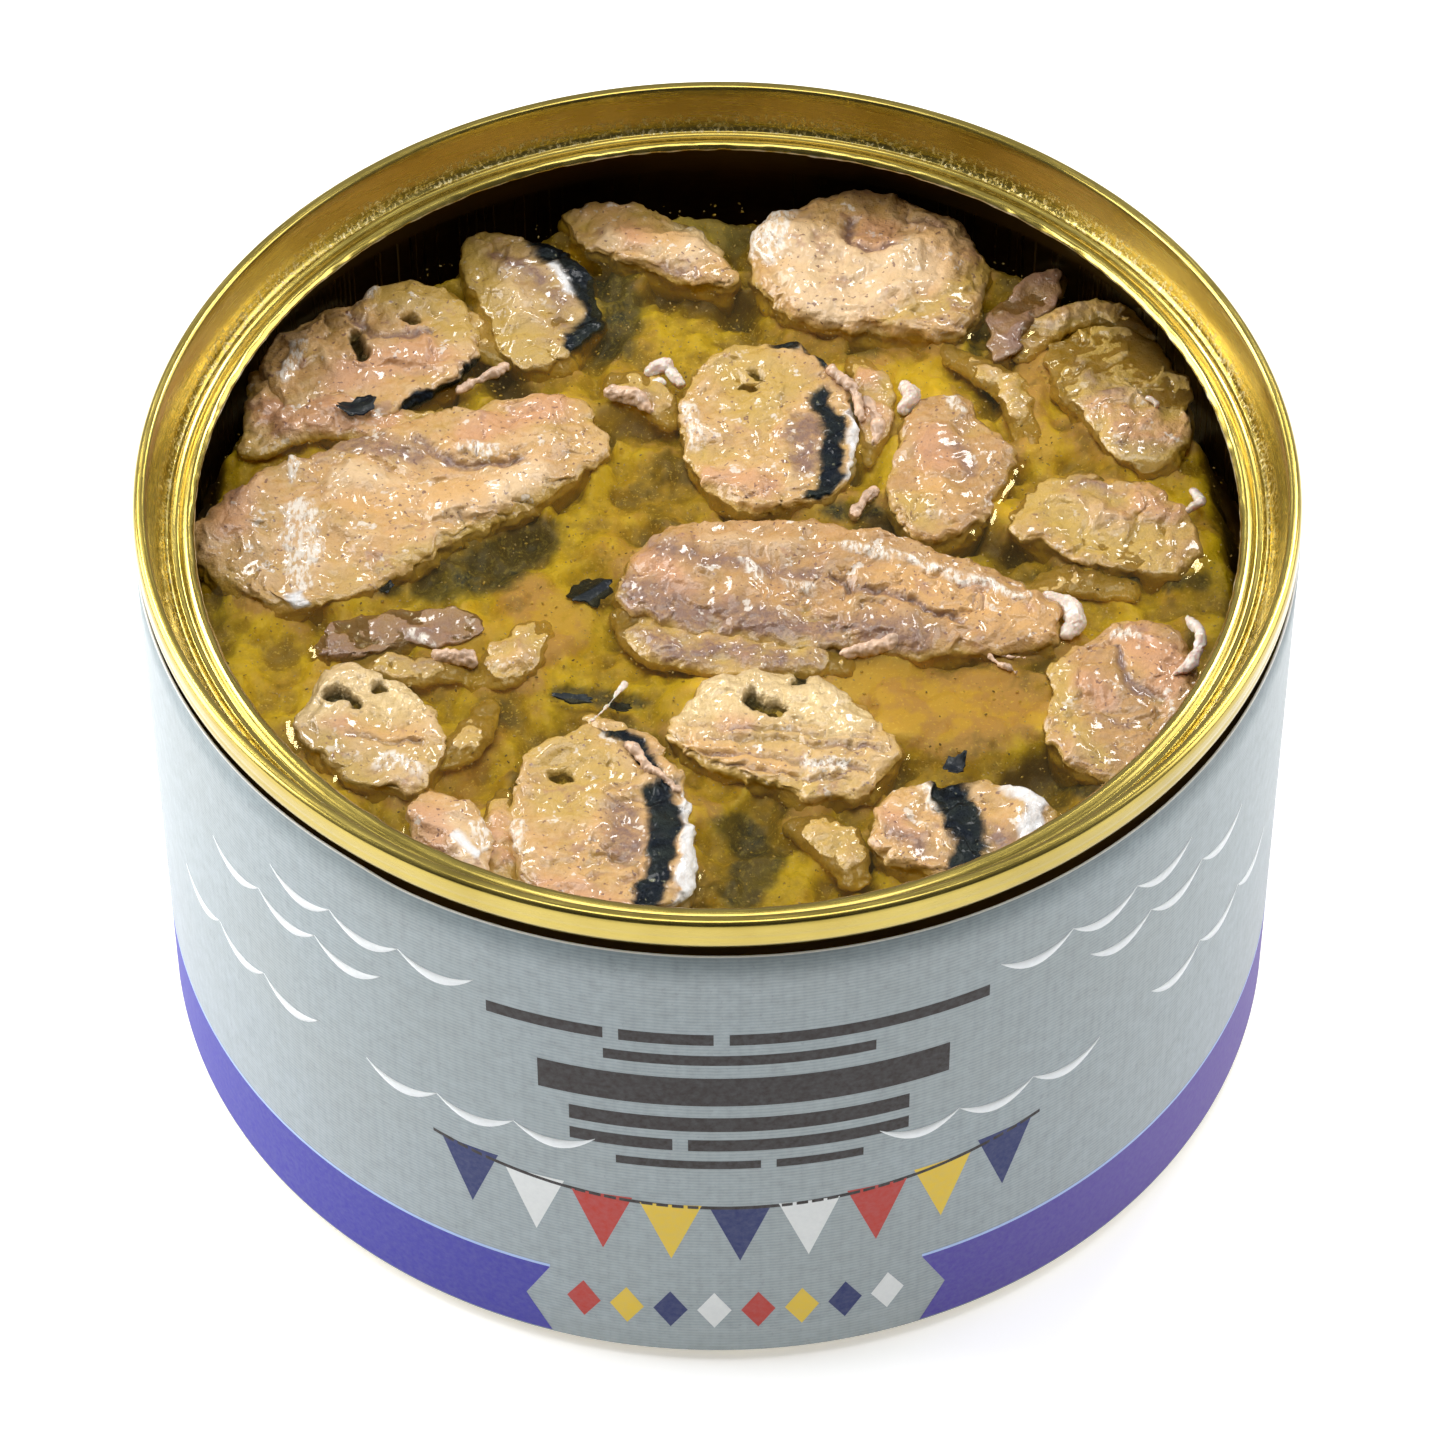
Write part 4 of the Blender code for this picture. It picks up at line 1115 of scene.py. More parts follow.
def bent_print(name, sheets, lift):
    """Ink bent round the label; a sheet is columns of (azimuth in degrees, height in mm)."""
    bm = bmesh.new()
    for columns in sheets:
        rows = len(columns[0])
        spots = {}
        for layer, radius in enumerate((LABEL_RADIUS - 0.1, LABEL_RADIUS - 0.02 + lift)):
            for i, column in enumerate(columns):
                for j, (azimuth, height) in enumerate(column):
                    a = math.radians(azimuth)
                    place = (radius * MM * math.cos(a), radius * MM * math.sin(a), height * MM)
                    spots[layer, i, j] = bm.verts.new(place)
        for layer in (0, 1):
            for i in range(len(columns) - 1):
                for j in range(rows - 1):
                    bm.faces.new((spots[layer, i, j], spots[layer, i + 1, j], spots[layer, i + 1, j + 1],
                                  spots[layer, i, j + 1]))
        rim = [(i, 0) for i in range(len(columns))] + [(len(columns) - 1, j) for j in range(1, rows)]
        rim += [(i, rows - 1) for i in range(len(columns) - 2, -1, -1)]
        rim += [(0, j) for j in range(rows - 2, 0, -1)]
        for here, there in zip(rim, rim[1:] + rim[:1]):
            bm.faces.new((spots[(0, *here)], spots[(0, *there)], spots[(1, *there)], spots[(1, *here)]))
    bmesh.ops.recalc_face_normals(bm, faces=bm.faces)
    mesh = bpy.data.meshes.new(name)
    bm.to_mesh(mesh)
    bm.free()
    mesh.shade_smooth()
    mesh.set_sharp_from_angle(angle=math.radians(30.0))
    return new_object(name, mesh)


def band(start, end, low, high, start_notch=0.0, end_notch=0.0):
    """Columns of a long band; a notch, in degrees, cuts a swallowtail into that end."""
    count = max(2, int(abs(end - start)))
    columns = []
    for i in range(count + 1):
        share = i / count
        azimuth = start + (end - start) * share
        tuck = start_notch * max(0.0, 1.0 - share * count / NOTCH_COLUMNS)
        tuck += end_notch * max(0.0, 1.0 - (1.0 - share) * count / NOTCH_COLUMNS)
        columns.append([(azimuth + tuck * (1.0 - abs(2.0 * f - 1.0)), low + (high - low) * f)
                        for f in (0.0, 0.25, 0.5, 0.75, 1.0)])
    return columns


def diamond(azimuth, level, half_angle, half_height, top_share=1.0, bottom_share=1.0):
    """Columns of a lozenge, or of a triangle where one of its halves is left out."""
    steps = (-1.0, -0.98, -0.5, 0.0, 0.5, 0.98, 1.0)
    return [[(azimuth + half_angle * s, level - bottom_share * half_height * max(0.01, 1.0 - abs(s))),
             (azimuth + half_angle * s,
              level + top_share * half_height * max(0.01, 1.0 - abs(s)))] for s in steps]


def new_tree(name, sockets):
    """A geometry node tree with these inputs beside its geometry, and the sockets they come from."""
    tree = bpy.data.node_groups.new(name, "GeometryNodeTree")
    tree.interface.new_socket("Geometry", in_out="INPUT", socket_type="NodeSocketGeometry")
    for label, kind in sockets:
        tree.interface.new_socket(label, in_out="INPUT", socket_type="NodeSocket" + kind)
    tree.interface.new_socket("Geometry", in_out="OUTPUT", socket_type="NodeSocketGeometry")
    return tree, add(tree, "NodeGroupInput").outputs


def put_out(tree, geometry, material):
    """Gives the geometry its material and makes it the tree's result."""
    coloured = add(tree, "GeometryNodeSetMaterial", {"Geometry": geometry, "Material": material})
    output = add(tree, "NodeGroupOutput")
    tree.links.new(coloured.outputs["Geometry"], output.inputs["Geometry"])


def scallop_tree():
    """A node tree that lays a row of hanging crescents along the label."""
    tree, inputs = new_tree("scallop_row", (
        ("Count", "Int"), ("First Azimuth", "Float"), ("Span", "Float"), ("Height", "Float"),
        ("Sag", "Float"), ("Thickness", "Float"), ("Radius", "Float"), ("Material", "Material")))

    def calc(operation, first, second=0.0):
        return maths(tree, operation, first, second)

    # One crescent is a flat grid: x runs 0 to 1 along it, y 0 to 1 across it
    grid = add(tree, "GeometryNodeMeshGrid",
               {"Size X": 1.0, "Size Y": 1.0, "Vertices X": 17, "Vertices Y": 3}).outputs["Mesh"]
    row = add(tree, "GeometryNodeMeshLine", {"Count": inputs["Count"], "Offset": (0.0, 0.0, 0.0)},
              mode="OFFSET").outputs["Mesh"]
    number = add(tree, "GeometryNodeInputIndex").outputs["Index"]
    marked_row = add(tree, "GeometryNodeStoreNamedAttribute",
                     {"Geometry": row, "Name": "number", "Value": number}, data_type="FLOAT",
                     domain="POINT").outputs["Geometry"]
    placed = add(tree, "GeometryNodeInstanceOnPoints",
                 {"Points": marked_row, "Instance": grid}).outputs["Instances"]
    real = add(tree, "GeometryNodeRealizeInstances", {"Geometry": placed}).outputs["Geometry"]
    which = add(tree, "GeometryNodeInputNamedAttribute", {"Name": "number"},
                data_type="FLOAT").outputs["Attribute"]
    at = parted(tree, add(tree, "GeometryNodeInputPosition").outputs["Position"])
    along = calc("ADD", at["X"], 0.5)
    across = at["Y"]
    arch = calc("MULTIPLY", calc("MULTIPLY", along, calc("SUBTRACT", 1.0, along)), 4.0)
    azimuth = calc("ADD", inputs["First Azimuth"],
                   calc("MULTIPLY", inputs["Span"], calc("ADD", which, along)))
    drop = calc("MULTIPLY", arch, inputs["Sag"])
    breadth = calc("MULTIPLY", calc("MULTIPLY", across, inputs["Thickness"]),
                   calc("ADD", calc("POWER", arch, 1.2), 0.08))
    level = calc("ADD", calc("SUBTRACT", inputs["Height"], drop), breadth)
    east = calc("COSINE", azimuth)
    north = calc("SINE", azimuth)
    spot = joined(tree, calc("MULTIPLY", inputs["Radius"], east), calc("MULTIPLY", inputs["Radius"], north),
                  level)
    bent = add(tree, "GeometryNodeSetPosition", {"Geometry": real, "Position": spot}).outputs["Geometry"]
    outward = joined(tree, east, north, 0.0)
    solid = add(tree, "GeometryNodeExtrudeMesh",
                {"Mesh": bent, "Offset": outward, "Offset Scale": SCALLOP_DEPTH,
                 "Individual": False}).outputs["Mesh"]
    put_out(tree, solid, inputs["Material"])
    return tree


def run_tree(name, tree, values, mesh=None):
    """An object whose mesh is what a node tree makes with these inputs."""
    obj = new_object(name, mesh or bpy.data.meshes.new(name))
    modifier = obj.modifiers.new("made by nodes", "NODES")
    modifier.node_group = tree
    for item in tree.interface.items_tree:
        if item.in_out == "INPUT" and item.name in values:
            modifier[item.identifier] = values[item.name]
    made = evaluated_mesh(obj)
    if "number" in made.attributes:
        made.attributes.remove(made.attributes["number"])
    made.shade_smooth()
    return obj


def print_scallops(look):
    """White scallop rows at both sides of the title."""
    white = print_material("print_white", look.mark_white)
    tree = scallop_tree()
    # The first azimuth in degrees, the scallops in the row, and its height in millimetres
    rows = ((-138.3, 3, 41.2), (-148.8, 3, 36.9), (-157.4, 3, 26.8), (-126.6, 3, 26.2),
            (-62.4, 3, 41.2), (-51.8, 3, 37.0), (-42.6, 3, 26.9), (-74.4, 3, 26.2))
    for i, (azimuth, count, height) in enumerate(rows):
        values = {"Count": count, "First Azimuth": math.radians(azimuth), "Span": look.scallop_span,
                  "Height": height * MM, "Sag": look.scallop_sag, "Thickness": SCALLOP_THICKNESS,
                  "Radius": (LABEL_RADIUS - 0.06) * MM, "Material": white}
        settle(run_tree("scallops_%d" % i, tree, values), "label_paper", None)


def print_band(look):
    """The band along the base, with a pale line on its upper edge."""
    high = look.band_height / MM
    ink = print_material("print_band", look.band, look.band_side)
    sheet = band(BAND_START, BAND_END, BAND_FOOT, high, SWALLOWTAIL, -SWALLOWTAIL)
    settle(bent_print("base_band", [sheet], INK_LIFT), "label_paper", ink)
    ink = print_material("print_line", (0.42, 0.55, 0.85))
    line = band(BAND_START, BAND_END, high, high + 0.3)
    settle(bent_print("band_line", [line], INK_LIFT + 0.001), "label_paper", ink)


def print_bars(ink):
    """Plain bars where a title would stand, each given as (start, end, foot, top)."""
    bars = ((-112.5, -101.0, 38.2, 39.4), (-99.5, -90.5, 38.2, 39.4), (-89.0, -63.5, 38.2, 39.4),
            (-101.0, -75.0, 35.9, 37.0), (-107.5, -67.5, 31.2, 34.4), (-104.5, -71.5, 28.2, 29.8),
            (-104.5, -94.5, 25.9, 27.2), (-93.0, -71.5, 25.9, 27.2), (-100.0, -86.0, 23.8, 24.7),
            (-84.5, -76.0, 23.8, 24.7))
    settle(bent_print("plain_bars", [band(*bar) for bar in bars], INK_LIFT), "label_paper", ink)


def print_pennants(line_ink):
    """Nine pennants on a hanging line, and a row of lozenges low on the label, in four inks."""
    inks = (("pennants_navy", (0.012, 0.022, 0.13)), ("pennants_white", (0.78, 0.80, 0.79)),
            ("pennants_red", (0.50, 0.035, 0.02)), ("pennants_yellow", (0.80, 0.55, 0.04)))
    for first, (name, colour) in enumerate(inks):
        sheets = []
        for place in range(first, 9, 4):
            azimuth = -115.0 + place * 6.75
            level = 21.4 - 2.2 * (1.0 - ((place - 4.0) / 4.0) ** 2)
            sheets.append(diamond(azimuth, level, 3.0, 6.6, 0.0, 1.0))
        for place in range((first + 2) % 4, 8, 4):
            sheets.append(diamond(-103.6 + place * 4.35, 6.4, 1.7, 2.2))
        settle(bent_print(name, sheets, INK_LIFT), "label_paper", print_material("print_" + name, colour))
    line = []
    for place in range(41):
        share = place / 40.0
        level = 21.5 - 2.6 * (1.0 - ((share - 0.5) * 2.0) ** 2)
        line.append([(-119.0 + share * 62.0, level), (-119.0 + share * 62.0, level + 0.35)])
    settle(bent_print("pennant_line", [line], INK_LIFT + 0.002), "label_paper", line_ink)


class FISHTIN_OT_print(bpy.types.Operator):
    """Makes the label's print: scallop rows, swallowtail band, plain bars and a row of pennants"""
    bl_idname = "fishtin.print"
    bl_label = "Label print"

    def execute(self, context):
        look = active_settings().label
        print_scallops(look)
        print_band(look)
        brown = print_material("print_brown", (0.022, 0.013, 0.010))
        print_bars(brown)
        print_pennants(brown)
        return {"FINISHED"}


# Below this height a piece is squeezed while its mesh is made, because only its top shows
SQUEEZE_HEIGHT = 40.2
SQUEEZE = 0.12
# What stands above the shoulder is lowered to about this share of its height
SHOULDER = 41.4
FLATNESS = 0.54
# The sunk heap's mean height and foot, the oil's foot, and the pitch of both their grids
BED_LEVEL = 40.3
BED_FOOT = 24.0
BED_PITCH = 0.32
OIL_FOOT = 1.9
OIL_PITCH = 0.34
# The pieces whose cut flesh is browner than the others'
TANNED = ("steak_oval", "fillet_middle", "steak_lower_right", "steak_right")


def fine_piece(node, voxel):
    """A closed fine copy of a CAD piece in millimetres; its sunk depth gets few faces."""
    bm = bmesh.new()
    bm.from_mesh(frame["nodes"][node].data)
    bmesh.ops.remove_doubles(bm, verts=bm.verts, dist=2e-6)
    for vert in bm.verts:
        vert.co = vert.co / MM
        if vert.co.z < SQUEEZE_HEIGHT:
            vert.co.z = SQUEEZE_HEIGHT + (vert.co.z - SQUEEZE_HEIGHT) * SQUEEZE
    mesh = bpy.data.meshes.new(node + "_fine")
    bm.to_mesh(mesh)
    bm.free()
    obj = new_object(node + "_fine", mesh)
    smooth = obj.modifiers.new("round", "SUBSURF")
    smooth.levels = 2
    smooth.render_levels = 2
    even = obj.modifiers.new("even", "REMESH")
    even.mode = "VOXEL"
    even.voxel_size = voxel
    even.use_smooth_shade = True
    evaluated_mesh(obj)
    return obj


def sculpt(obj, node, seed):
    """Crags, flakes and tissues of a piece, written into its mesh, which ends in metres."""
    mesh = obj.data
    points = read_points(mesh)
    normals = read_normals(mesh)
    fields, lift = marked(points, MARKS[node], seed)
    upright = np.abs(normals[:, 2])
    shift = 0.22 * (1.0 - upright) * layered_noise(points * (1.0, 1.0, 2.4), 2.4, seed, 3)
    relief = 0.24 * layered_noise(points, 2.6, seed + 3, 3)
    ridges = 1.0 - np.abs(lattice_noise(points / 1.15 + 5.0, seed + 5)) * 2.2
    relief += 0.06 * np.clip(ridges, -0.6, 1.0)
    relief += 0.05 * layered_noise(points, 0.55, seed + 7, 2)
    cracks = np.abs(layered_noise(points, 3.2, seed + 13, 2))
    cracked = smooth_step(0.0, 0.3, layered_noise(points, 6.0, seed + 15, 1))
    relief -= 0.34 * (1.0 - smooth_step(0.0, 0.07, cracks)) * cracked
    # Ridges and hollows of the relief, which the flesh material paints as highlight and shade
    fields["relief"][:, 0] = smooth_step(0.02, 0.28, relief)
    fields["relief"][:, 1] = smooth_step(-0.04, -0.28, relief)
    shift += relief
    middle = points.mean(0)
    rings = np.hypot(points[:, 0] - middle[0], points[:, 1] - middle[1])
    rings += 0.6 * layered_noise(points, 3.5, seed + 11, 2)
    shift += 0.035 * np.sin(rings * math.tau / 1.25) * upright
    shift += lift * np.clip(upright * 1.6, 0.0, 1.0)
    shallow = smooth_step(SQUEEZE_HEIGHT - 0.2, SQUEEZE_HEIGHT + 1.2, points[:, 2])
    peak = points[:, 2].max() - SHOULDER
    rise = np.clip((points[:, 2] - SHOULDER) / peak, 0.0, 1.0)
    swell = 1.0 + 0.34 * layered_noise(points * (1.0, 1.0, 0.2), 6.0, seed + 19, 2)
    plateau = SHOULDER + peak * FLATNESS * swell * (1.0 - (1.0 - rise) ** 1.5)
    points[:, 2] = np.where(points[:, 2] > SHOULDER, plateau, points[:, 2])
    for axis in (0, 1):
        warp = 0.75 * layered_noise(points, 4.2, seed + 20 + axis, 2)
        warp += 0.34 * layered_noise(points, 1.3, seed + 25 + axis, 2)
        points[:, axis] += warp * shallow * 0.9
    points += normals * (shift * shallow)[:, None]
    deep = points[:, 2] < SQUEEZE_HEIGHT
    points[deep, 2] = SQUEEZE_HEIGHT + (points[deep, 2] - SQUEEZE_HEIGHT) / SQUEEZE
    store_fields(mesh, fields)
    write_points(mesh, points * MM)
    mesh.shade_smooth()


class FISHTIN_OT_fish(bpy.types.Operator):
    """Makes each piece of fish from its CAD solid, with crags, flakes, skin, fat and brown muscle"""
    bl_idname = "fishtin.fish"
    bl_label = "Pieces of fish"

    def execute(self, context):
        look = active_settings().flesh
        voxel = look.voxel / MM * 1.0
        finishes = {
            "flesh": flesh_material("flesh_fine", look.flesh_warm, look.flesh_cool, 0.7),
            "skin": flesh_material("flesh_half_sunk", (0.52, 0.33, 0.14), (0.42, 0.25, 0.07), 0.8),
            "sunk": flesh_material("flesh_sunk", look.soaked, (0.38, 0.24, 0.05), 0.8),
            "dark": flesh_material("flesh_dark", (0.36, 0.18, 0.105), (0.25, 0.12, 0.065), 0.7,
                                   (0.50, 0.32, 0.20), (0.28, 0.155, 0.045)),
            "tan": flesh_material("flesh_tan", (0.48, 0.245, 0.075), (0.39, 0.21, 0.052), 0.7,
                                  (0.62, 0.40, 0.20)),
            "silver": flesh_material("flesh_silver", (0.60, 0.38, 0.14), (0.54, 0.33, 0.095), 0.8),
        }
        for seed, (node, slot) in enumerate(FISH_SLOTS.items()):
            obj = fine_piece(node, voxel)
            sculpt(obj, node, seed * 31 + 2)
            settle(obj, slot, finishes["tan" if node in TANNED else slot], node)
        return {"FINISHED"}


def near_fish(x, y):
    """Distance in plan to the nearest place where a piece of fish meets the oil."""
    shore = shore_points()
    tree = KDTree(len(shore))
    for i, point in enumerate(shore):
        tree.insert((point[0], point[1], 0.0), i)
    tree.balance()
    return np.array([tree.find((a, b, 0.0))[2] for a, b in zip(x, y)])


def bed_height(x, y):
    """Height of the sunk heap under the oil, in millimetres."""
    points = np.c_[x, y, np.full(len(x), 40.9)]
    reach = np.hypot(x, y)
    fields, lift = marked(points, MARKS["bed"], 404)
    folds = 1.0 - 2.0 * np.abs(layered_noise(points, 6.0, 73, 2))
    height = BED_LEVEL + 1.1 * layered_noise(points, 4.6, 71, 4) + 0.5 * folds
    height += 0.22 * layered_noise(points, 1.1, 72, 3) + 1.6 * lift
    crevice = smooth_step(0.05, 0.4, layered_noise(points, 5.0, 78, 2))
    height += (0.75 - 2.0 * crevice) * np.exp(-near_fish(x, y) / 1.3)
    pale = fields["soft"][:, 1]
    height += pale * np.maximum(0.0, 41.55 - height) * 0.85
    shore = smooth_step(38.5, 42.0, reach + 1.2 * lattice_noise(points / 5.0, 76))
    height -= 6.5 * shore
    return np.minimum(height, OIL_LEVEL - 0.08)


class FISHTIN_OT_bed(bpy.types.Operator):
    """Makes the sunk flesh and skin that shows through the oil between the pieces"""
    bl_idname = "fishtin.bed"
    bl_label = "Sunk bed"

    def execute(self, context):
        mesh = disc_solid("sunk_bed", WALL_RADIUS - 0.2, BED_PITCH, BED_FOOT, bed_height)
        points = read_points(mesh)
        fields, _ = marked(points, MARKS["bed"], 404)
        skirt = 1.3 * np.exp(-near_fish(points[:, 0], points[:, 1]) / 1.9)
        cloud = smooth_step(-0.45, 0.25, layered_noise(points, 3.0, 77, 3))
        level_points = points * (1.0, 1.0, 0.0) + (0.0, 0.0, 40.9)
        crevice = smooth_step(0.05, 0.4, layered_noise(level_points, 5.0, 78, 2))
        pale = np.maximum(fields["soft"][:, 1], skirt * cloud * (1.0 - crevice))
        fields["soft"][:, 1] = np.clip(pale, 0.0, 1.0)
        store_fields(mesh, fields)
        write_points(mesh, points * MM)
        settle(new_object("sunk_bed", mesh), "sunk", bed_material())
        return {"FINISHED"}


def shore_points():
    """Points where the made pieces of fish pass through the oil's surface, in millimetres."""
    found = []
    for obj in bpy.data.objects:
        if obj.name.endswith("_fine") and obj.type == "MESH":
            points = read_points(obj.data) / MM
            found.append(points[np.abs(points[:, 2] - OIL_LEVEL - 0.1) < 0.16][::2])
    return np.concatenate(found)


class FISHTIN_OT_oil(bpy.types.Operator):
    """Makes the oil: clear, level, and creeping up the wall and the pieces that stand in it"""
    bl_idname = "fishtin.oil"
    bl_label = "Oil"

    def execute(self, context):
        creep = active_settings().oil.meniscus / MM

        def height_at(x, y):
            near = near_fish(x, y)
            wall = np.maximum(0.0, WALL_RADIUS - np.hypot(x, y))
            swell = 0.02 * lattice_noise(np.c_[x, y, np.zeros(len(x))] / 6.0, 90)
            return OIL_LEVEL + creep * np.exp(-near / 0.45) + creep * 1.4 * np.exp(-wall / 0.8) + swell

        mesh = disc_solid("oil_body", WALL_RADIUS + 0.1, OIL_PITCH, OIL_FOOT, height_at)
        write_points(mesh, read_points(mesh) * MM)
        settle(new_object("oil_body", mesh), "fish_oil", oil_material(), "oil")
        return {"FINISHED"}


def scatter_tree():
    """A node tree that strews small flakes over a surface and makes them real."""
    tree, inputs = new_tree("strewn_flakes", (
        ("Density", "Float"), ("Smallest", "Float"), ("Largest", "Float"), ("Seed", "Int"),
        ("Material", "Material")))
    spots = add(tree, "GeometryNodeDistributePointsOnFaces",
                {"Mesh": inputs["Geometry"], "Density": inputs["Density"], "Seed": inputs["Seed"]},
                distribute_method="RANDOM").outputs["Points"]
    flake = add(tree, "GeometryNodeMeshIcoSphere", {"Radius": 1.0, "Subdivisions": 2}).outputs["Mesh"]
    flat = add(tree, "GeometryNodeTransform",
               {"Geometry": flake, "Scale": (1.0, 0.62, 0.34)}).outputs["Geometry"]
    turn = add(tree, "FunctionNodeRandomValue",
               {0: (-0.5, -0.5, 0.0), 1: (0.5, 0.5, 6.2832), "Seed": inputs["Seed"]},
               data_type="FLOAT_VECTOR").outputs[0]
    size = add(tree, "FunctionNodeRandomValue", {2: inputs["Smallest"], 3: inputs["Largest"], "Seed": 7},
               data_type="FLOAT").outputs[1]
    placed = add(tree, "GeometryNodeInstanceOnPoints",
                 {"Points": spots, "Instance": flat, "Rotation": turn, "Scale": size}).outputs["Instances"]
    real = add(tree, "GeometryNodeRealizeInstances", {"Geometry": placed}).outputs["Geometry"]
    put_out(tree, real, inputs["Material"])
    return tree


def strewing_ground(name, height):
    """A round ground for flakes, level in the oil."""
    mesh = bpy.data.meshes.new(name)
    bm = bmesh.new()
    bmesh.ops.create_circle(bm, cap_ends=True, cap_tris=True, segments=64, radius=39.5 * MM)
    bmesh.ops.translate(bm, verts=bm.verts, vec=(0.0, 0.0, height * MM))
    bm.to_mesh(mesh)
    bm.free()
    return mesh


class FISHTIN_OT_flakes(bpy.types.Operator):
    """Strews tiny pale and dark flakes in the oil near its surface"""
    bl_idname = "fishtin.flakes"
    bl_label = "Flakes in the oil"

    def execute(self, context):
        tree = scatter_tree()
        # The colour, height in millimetres, flakes per square metre, smallest, largest and seed
        kinds = (("flakes_pale", (0.70, 0.56, 0.30), 41.86, 420000.0, 0.00004, 0.00013, 11),
                 ("flakes_gold", (0.60, 0.44, 0.10), 41.55, 470000.0, 0.00005, 0.00016, 12),
                 ("flakes_dark", (0.07, 0.045, 0.02), 41.80, 130000.0, 0.00004, 0.00015, 13))
        for name, colour, height, density, smallest, largest, seed in kinds:
            values = {"Density": density, "Smallest": smallest, "Largest": largest, "Seed": seed,
                      "Material": speck_material(name, colour)}
            settle(run_tree(name, tree, values, strewing_ground(name, height)), "sunk", None)
        return {"FINISHED"}


def curled_scrap(at, size, turn, curl, seed, thickness=0.14):
    """A torn scrap of skin: a thin closed sheet with a ragged outline, in millimetres."""
    rings = 7
    sides = 36
    verts = []
    faces = []
    spin = math.radians(turn)
    for face_side in (1.0, -1.0):
        for ring in range(rings + 1):
            for side in range(sides if ring else 1):
                a = math.tau * side / sides
                outline = np.array([[math.cos(a) * 1.6, math.sin(a) * 1.6, seed * 0.71]])
                rough = layered_noise(outline, 1.0, seed, 3)[0]
                reach = ring / rings * (1.0 + 0.42 * rough * ring / rings)
                u = reach * math.cos(a) * size[0] / 2.0
                v = reach * math.sin(a) * size[1] / 2.0
                z = curl * (u / size[0]) ** 2 * 4.0 + 0.15 * math.sin(v * 2.1 + seed)
                z += face_side * thickness / 2.0 * (1.0 if ring < rings else 0.2)
                x = at[0] + u * math.cos(spin) - v * math.sin(spin)
                y = at[1] + u * math.sin(spin) + v * math.cos(spin)
                verts.append((x, y, at[2] + z))
    layer = 1 + rings * sides

    def spot(sheet, ring, side):
        return sheet * layer + (0 if ring == 0 else 1 + (ring - 1) * sides + side % sides)

    for sheet in (0, 1):
        for side in range(sides):
            faces.append((spot(sheet, 0, 0), spot(sheet, 1, side), spot(sheet, 1, side + 1)))
            for ring in range(1, rings):
                faces.append((spot(sheet, ring, side), spot(sheet, ring + 1, side),
                              spot(sheet, ring + 1, side + 1), spot(sheet, ring, side + 1)))
    for side in range(sides):
        faces.append((spot(0, rings, side), spot(1, rings, side), spot(1, rings, side + 1),
                      spot(0, rings, side + 1)))
    return verts, faces


def roughened(name, shapes, voxel, amount, seed, lump=1.1):
    """Small soft pieces made of tubes: run together, then lumpy."""
    obj = new_object(name, mesh_of(name, shapes))
    even = obj.modifiers.new("even", "REMESH")
    even.mode = "VOXEL"
    even.voxel_size = voxel * MM
    evaluated_mesh(obj)
    points = read_points(obj.data) / MM
    normals = read_normals(obj.data)
    shift = amount * layered_noise(points, lump, seed, 3)
    shift += 0.12 * amount * layered_noise(points, 0.5, seed + 5, 2)
    write_points(obj.data, (points + normals * shift[:, None]) * MM)
    obj.data.shade_smooth()
    return obj


def flesh_bridges():
    """Flesh that runs on between pieces, level with the oil: each path's points, then its radii."""
    paths = (((-35.4, 12.6, 41.8), (-31.0, 15.4, 42.0), (-26.4, 14.6, 42.0), (-22.6, 15.4, 41.7),
              1.5, 2.5, 2.0, 1.1),
             ((-35.0, 19.8, 41.7), (-34.4, 16.4, 41.9), (-35.4, 12.6, 41.7), 1.4, 2.1, 1.2),
             ((-20.0, 27.4, 41.3), (-18.6, 24.6, 41.4), (-16.6, 22.2, 41.2), 1.0, 1.8, 1.0),
             ((-7.6, 19.6, 41.3), (-5.2, 18.4, 41.6), (-3.8, 15.6, 41.4), 1.2, 1.8, 1.0),
             ((10.8, 21.4, 41.6), (12.2, 18.6, 41.9), (12.2, 14.8, 41.8), (11.6, 11.2, 41.3),
              1.0, 1.5, 1.3, 0.6),
             ((-6.8, -5.4, 41.4), (-4.4, -8.2, 41.7), (2.0, -9.6, 41.7), (9.0, -10.0, 41.5),
              1.4, 2.1, 2.1, 1.2),
             ((-17.6, -11.0, 41.2), (-15.2, -9.6, 41.5), (-13.6, -6.6, 41.4), 1.4, 2.4, 1.4),
             ((-15.8, -22.6, 41.4), (-16.0, -26.4, 41.9), (-15.6, -30.4, 41.9), (-13.6, -33.4, 41.6),
              0.8, 1.6, 1.5, 0.8),
             ((6.0, -25.6, 41.3), (8.6, -27.4, 41.5), (9.8, -30.4, 41.3), 1.2, 2.1, 1.3),
             ((23.6, 22.4, 41.5), (26.0, 25.4, 41.7), (30.6, 26.8, 41.6), (33.4, 24.0, 41.4),
              0.9, 1.6, 1.5, 0.8),
             ((-20.6, -19.4, 41.3), (-18.4, -17.6, 41.4), (-17.0, -14.2, 41.3), 1.0, 1.7, 1.1),
             ((-9.6, -15.6, 41.7), (-7.4, -17.2, 42.0), (-8.4, -19.6, 41.9), 0.7, 1.1, 0.8),
             ((-27.2, -9.8, 41.4), (-23.0, -10.6, 41.6), (-19.4, -10.6, 41.4), 1.0, 1.5, 1.0),
             ((22.0, -4.6, 41.2), (26.0, -1.6, 41.3), (30.8, -2.6, 41.2), 1.0, 1.7, 1.1),
             ((18.0, 22.6, 41.3), (22.6, 18.6, 41.5), (23.8, 13.0, 41.3), 1.1, 1.6, 1.1))
    shapes = []
    for path in paths:
        half = len(path) // 2
        shapes.append(tube(path[:half], path[half:], flatten=0.45))
    return shapes


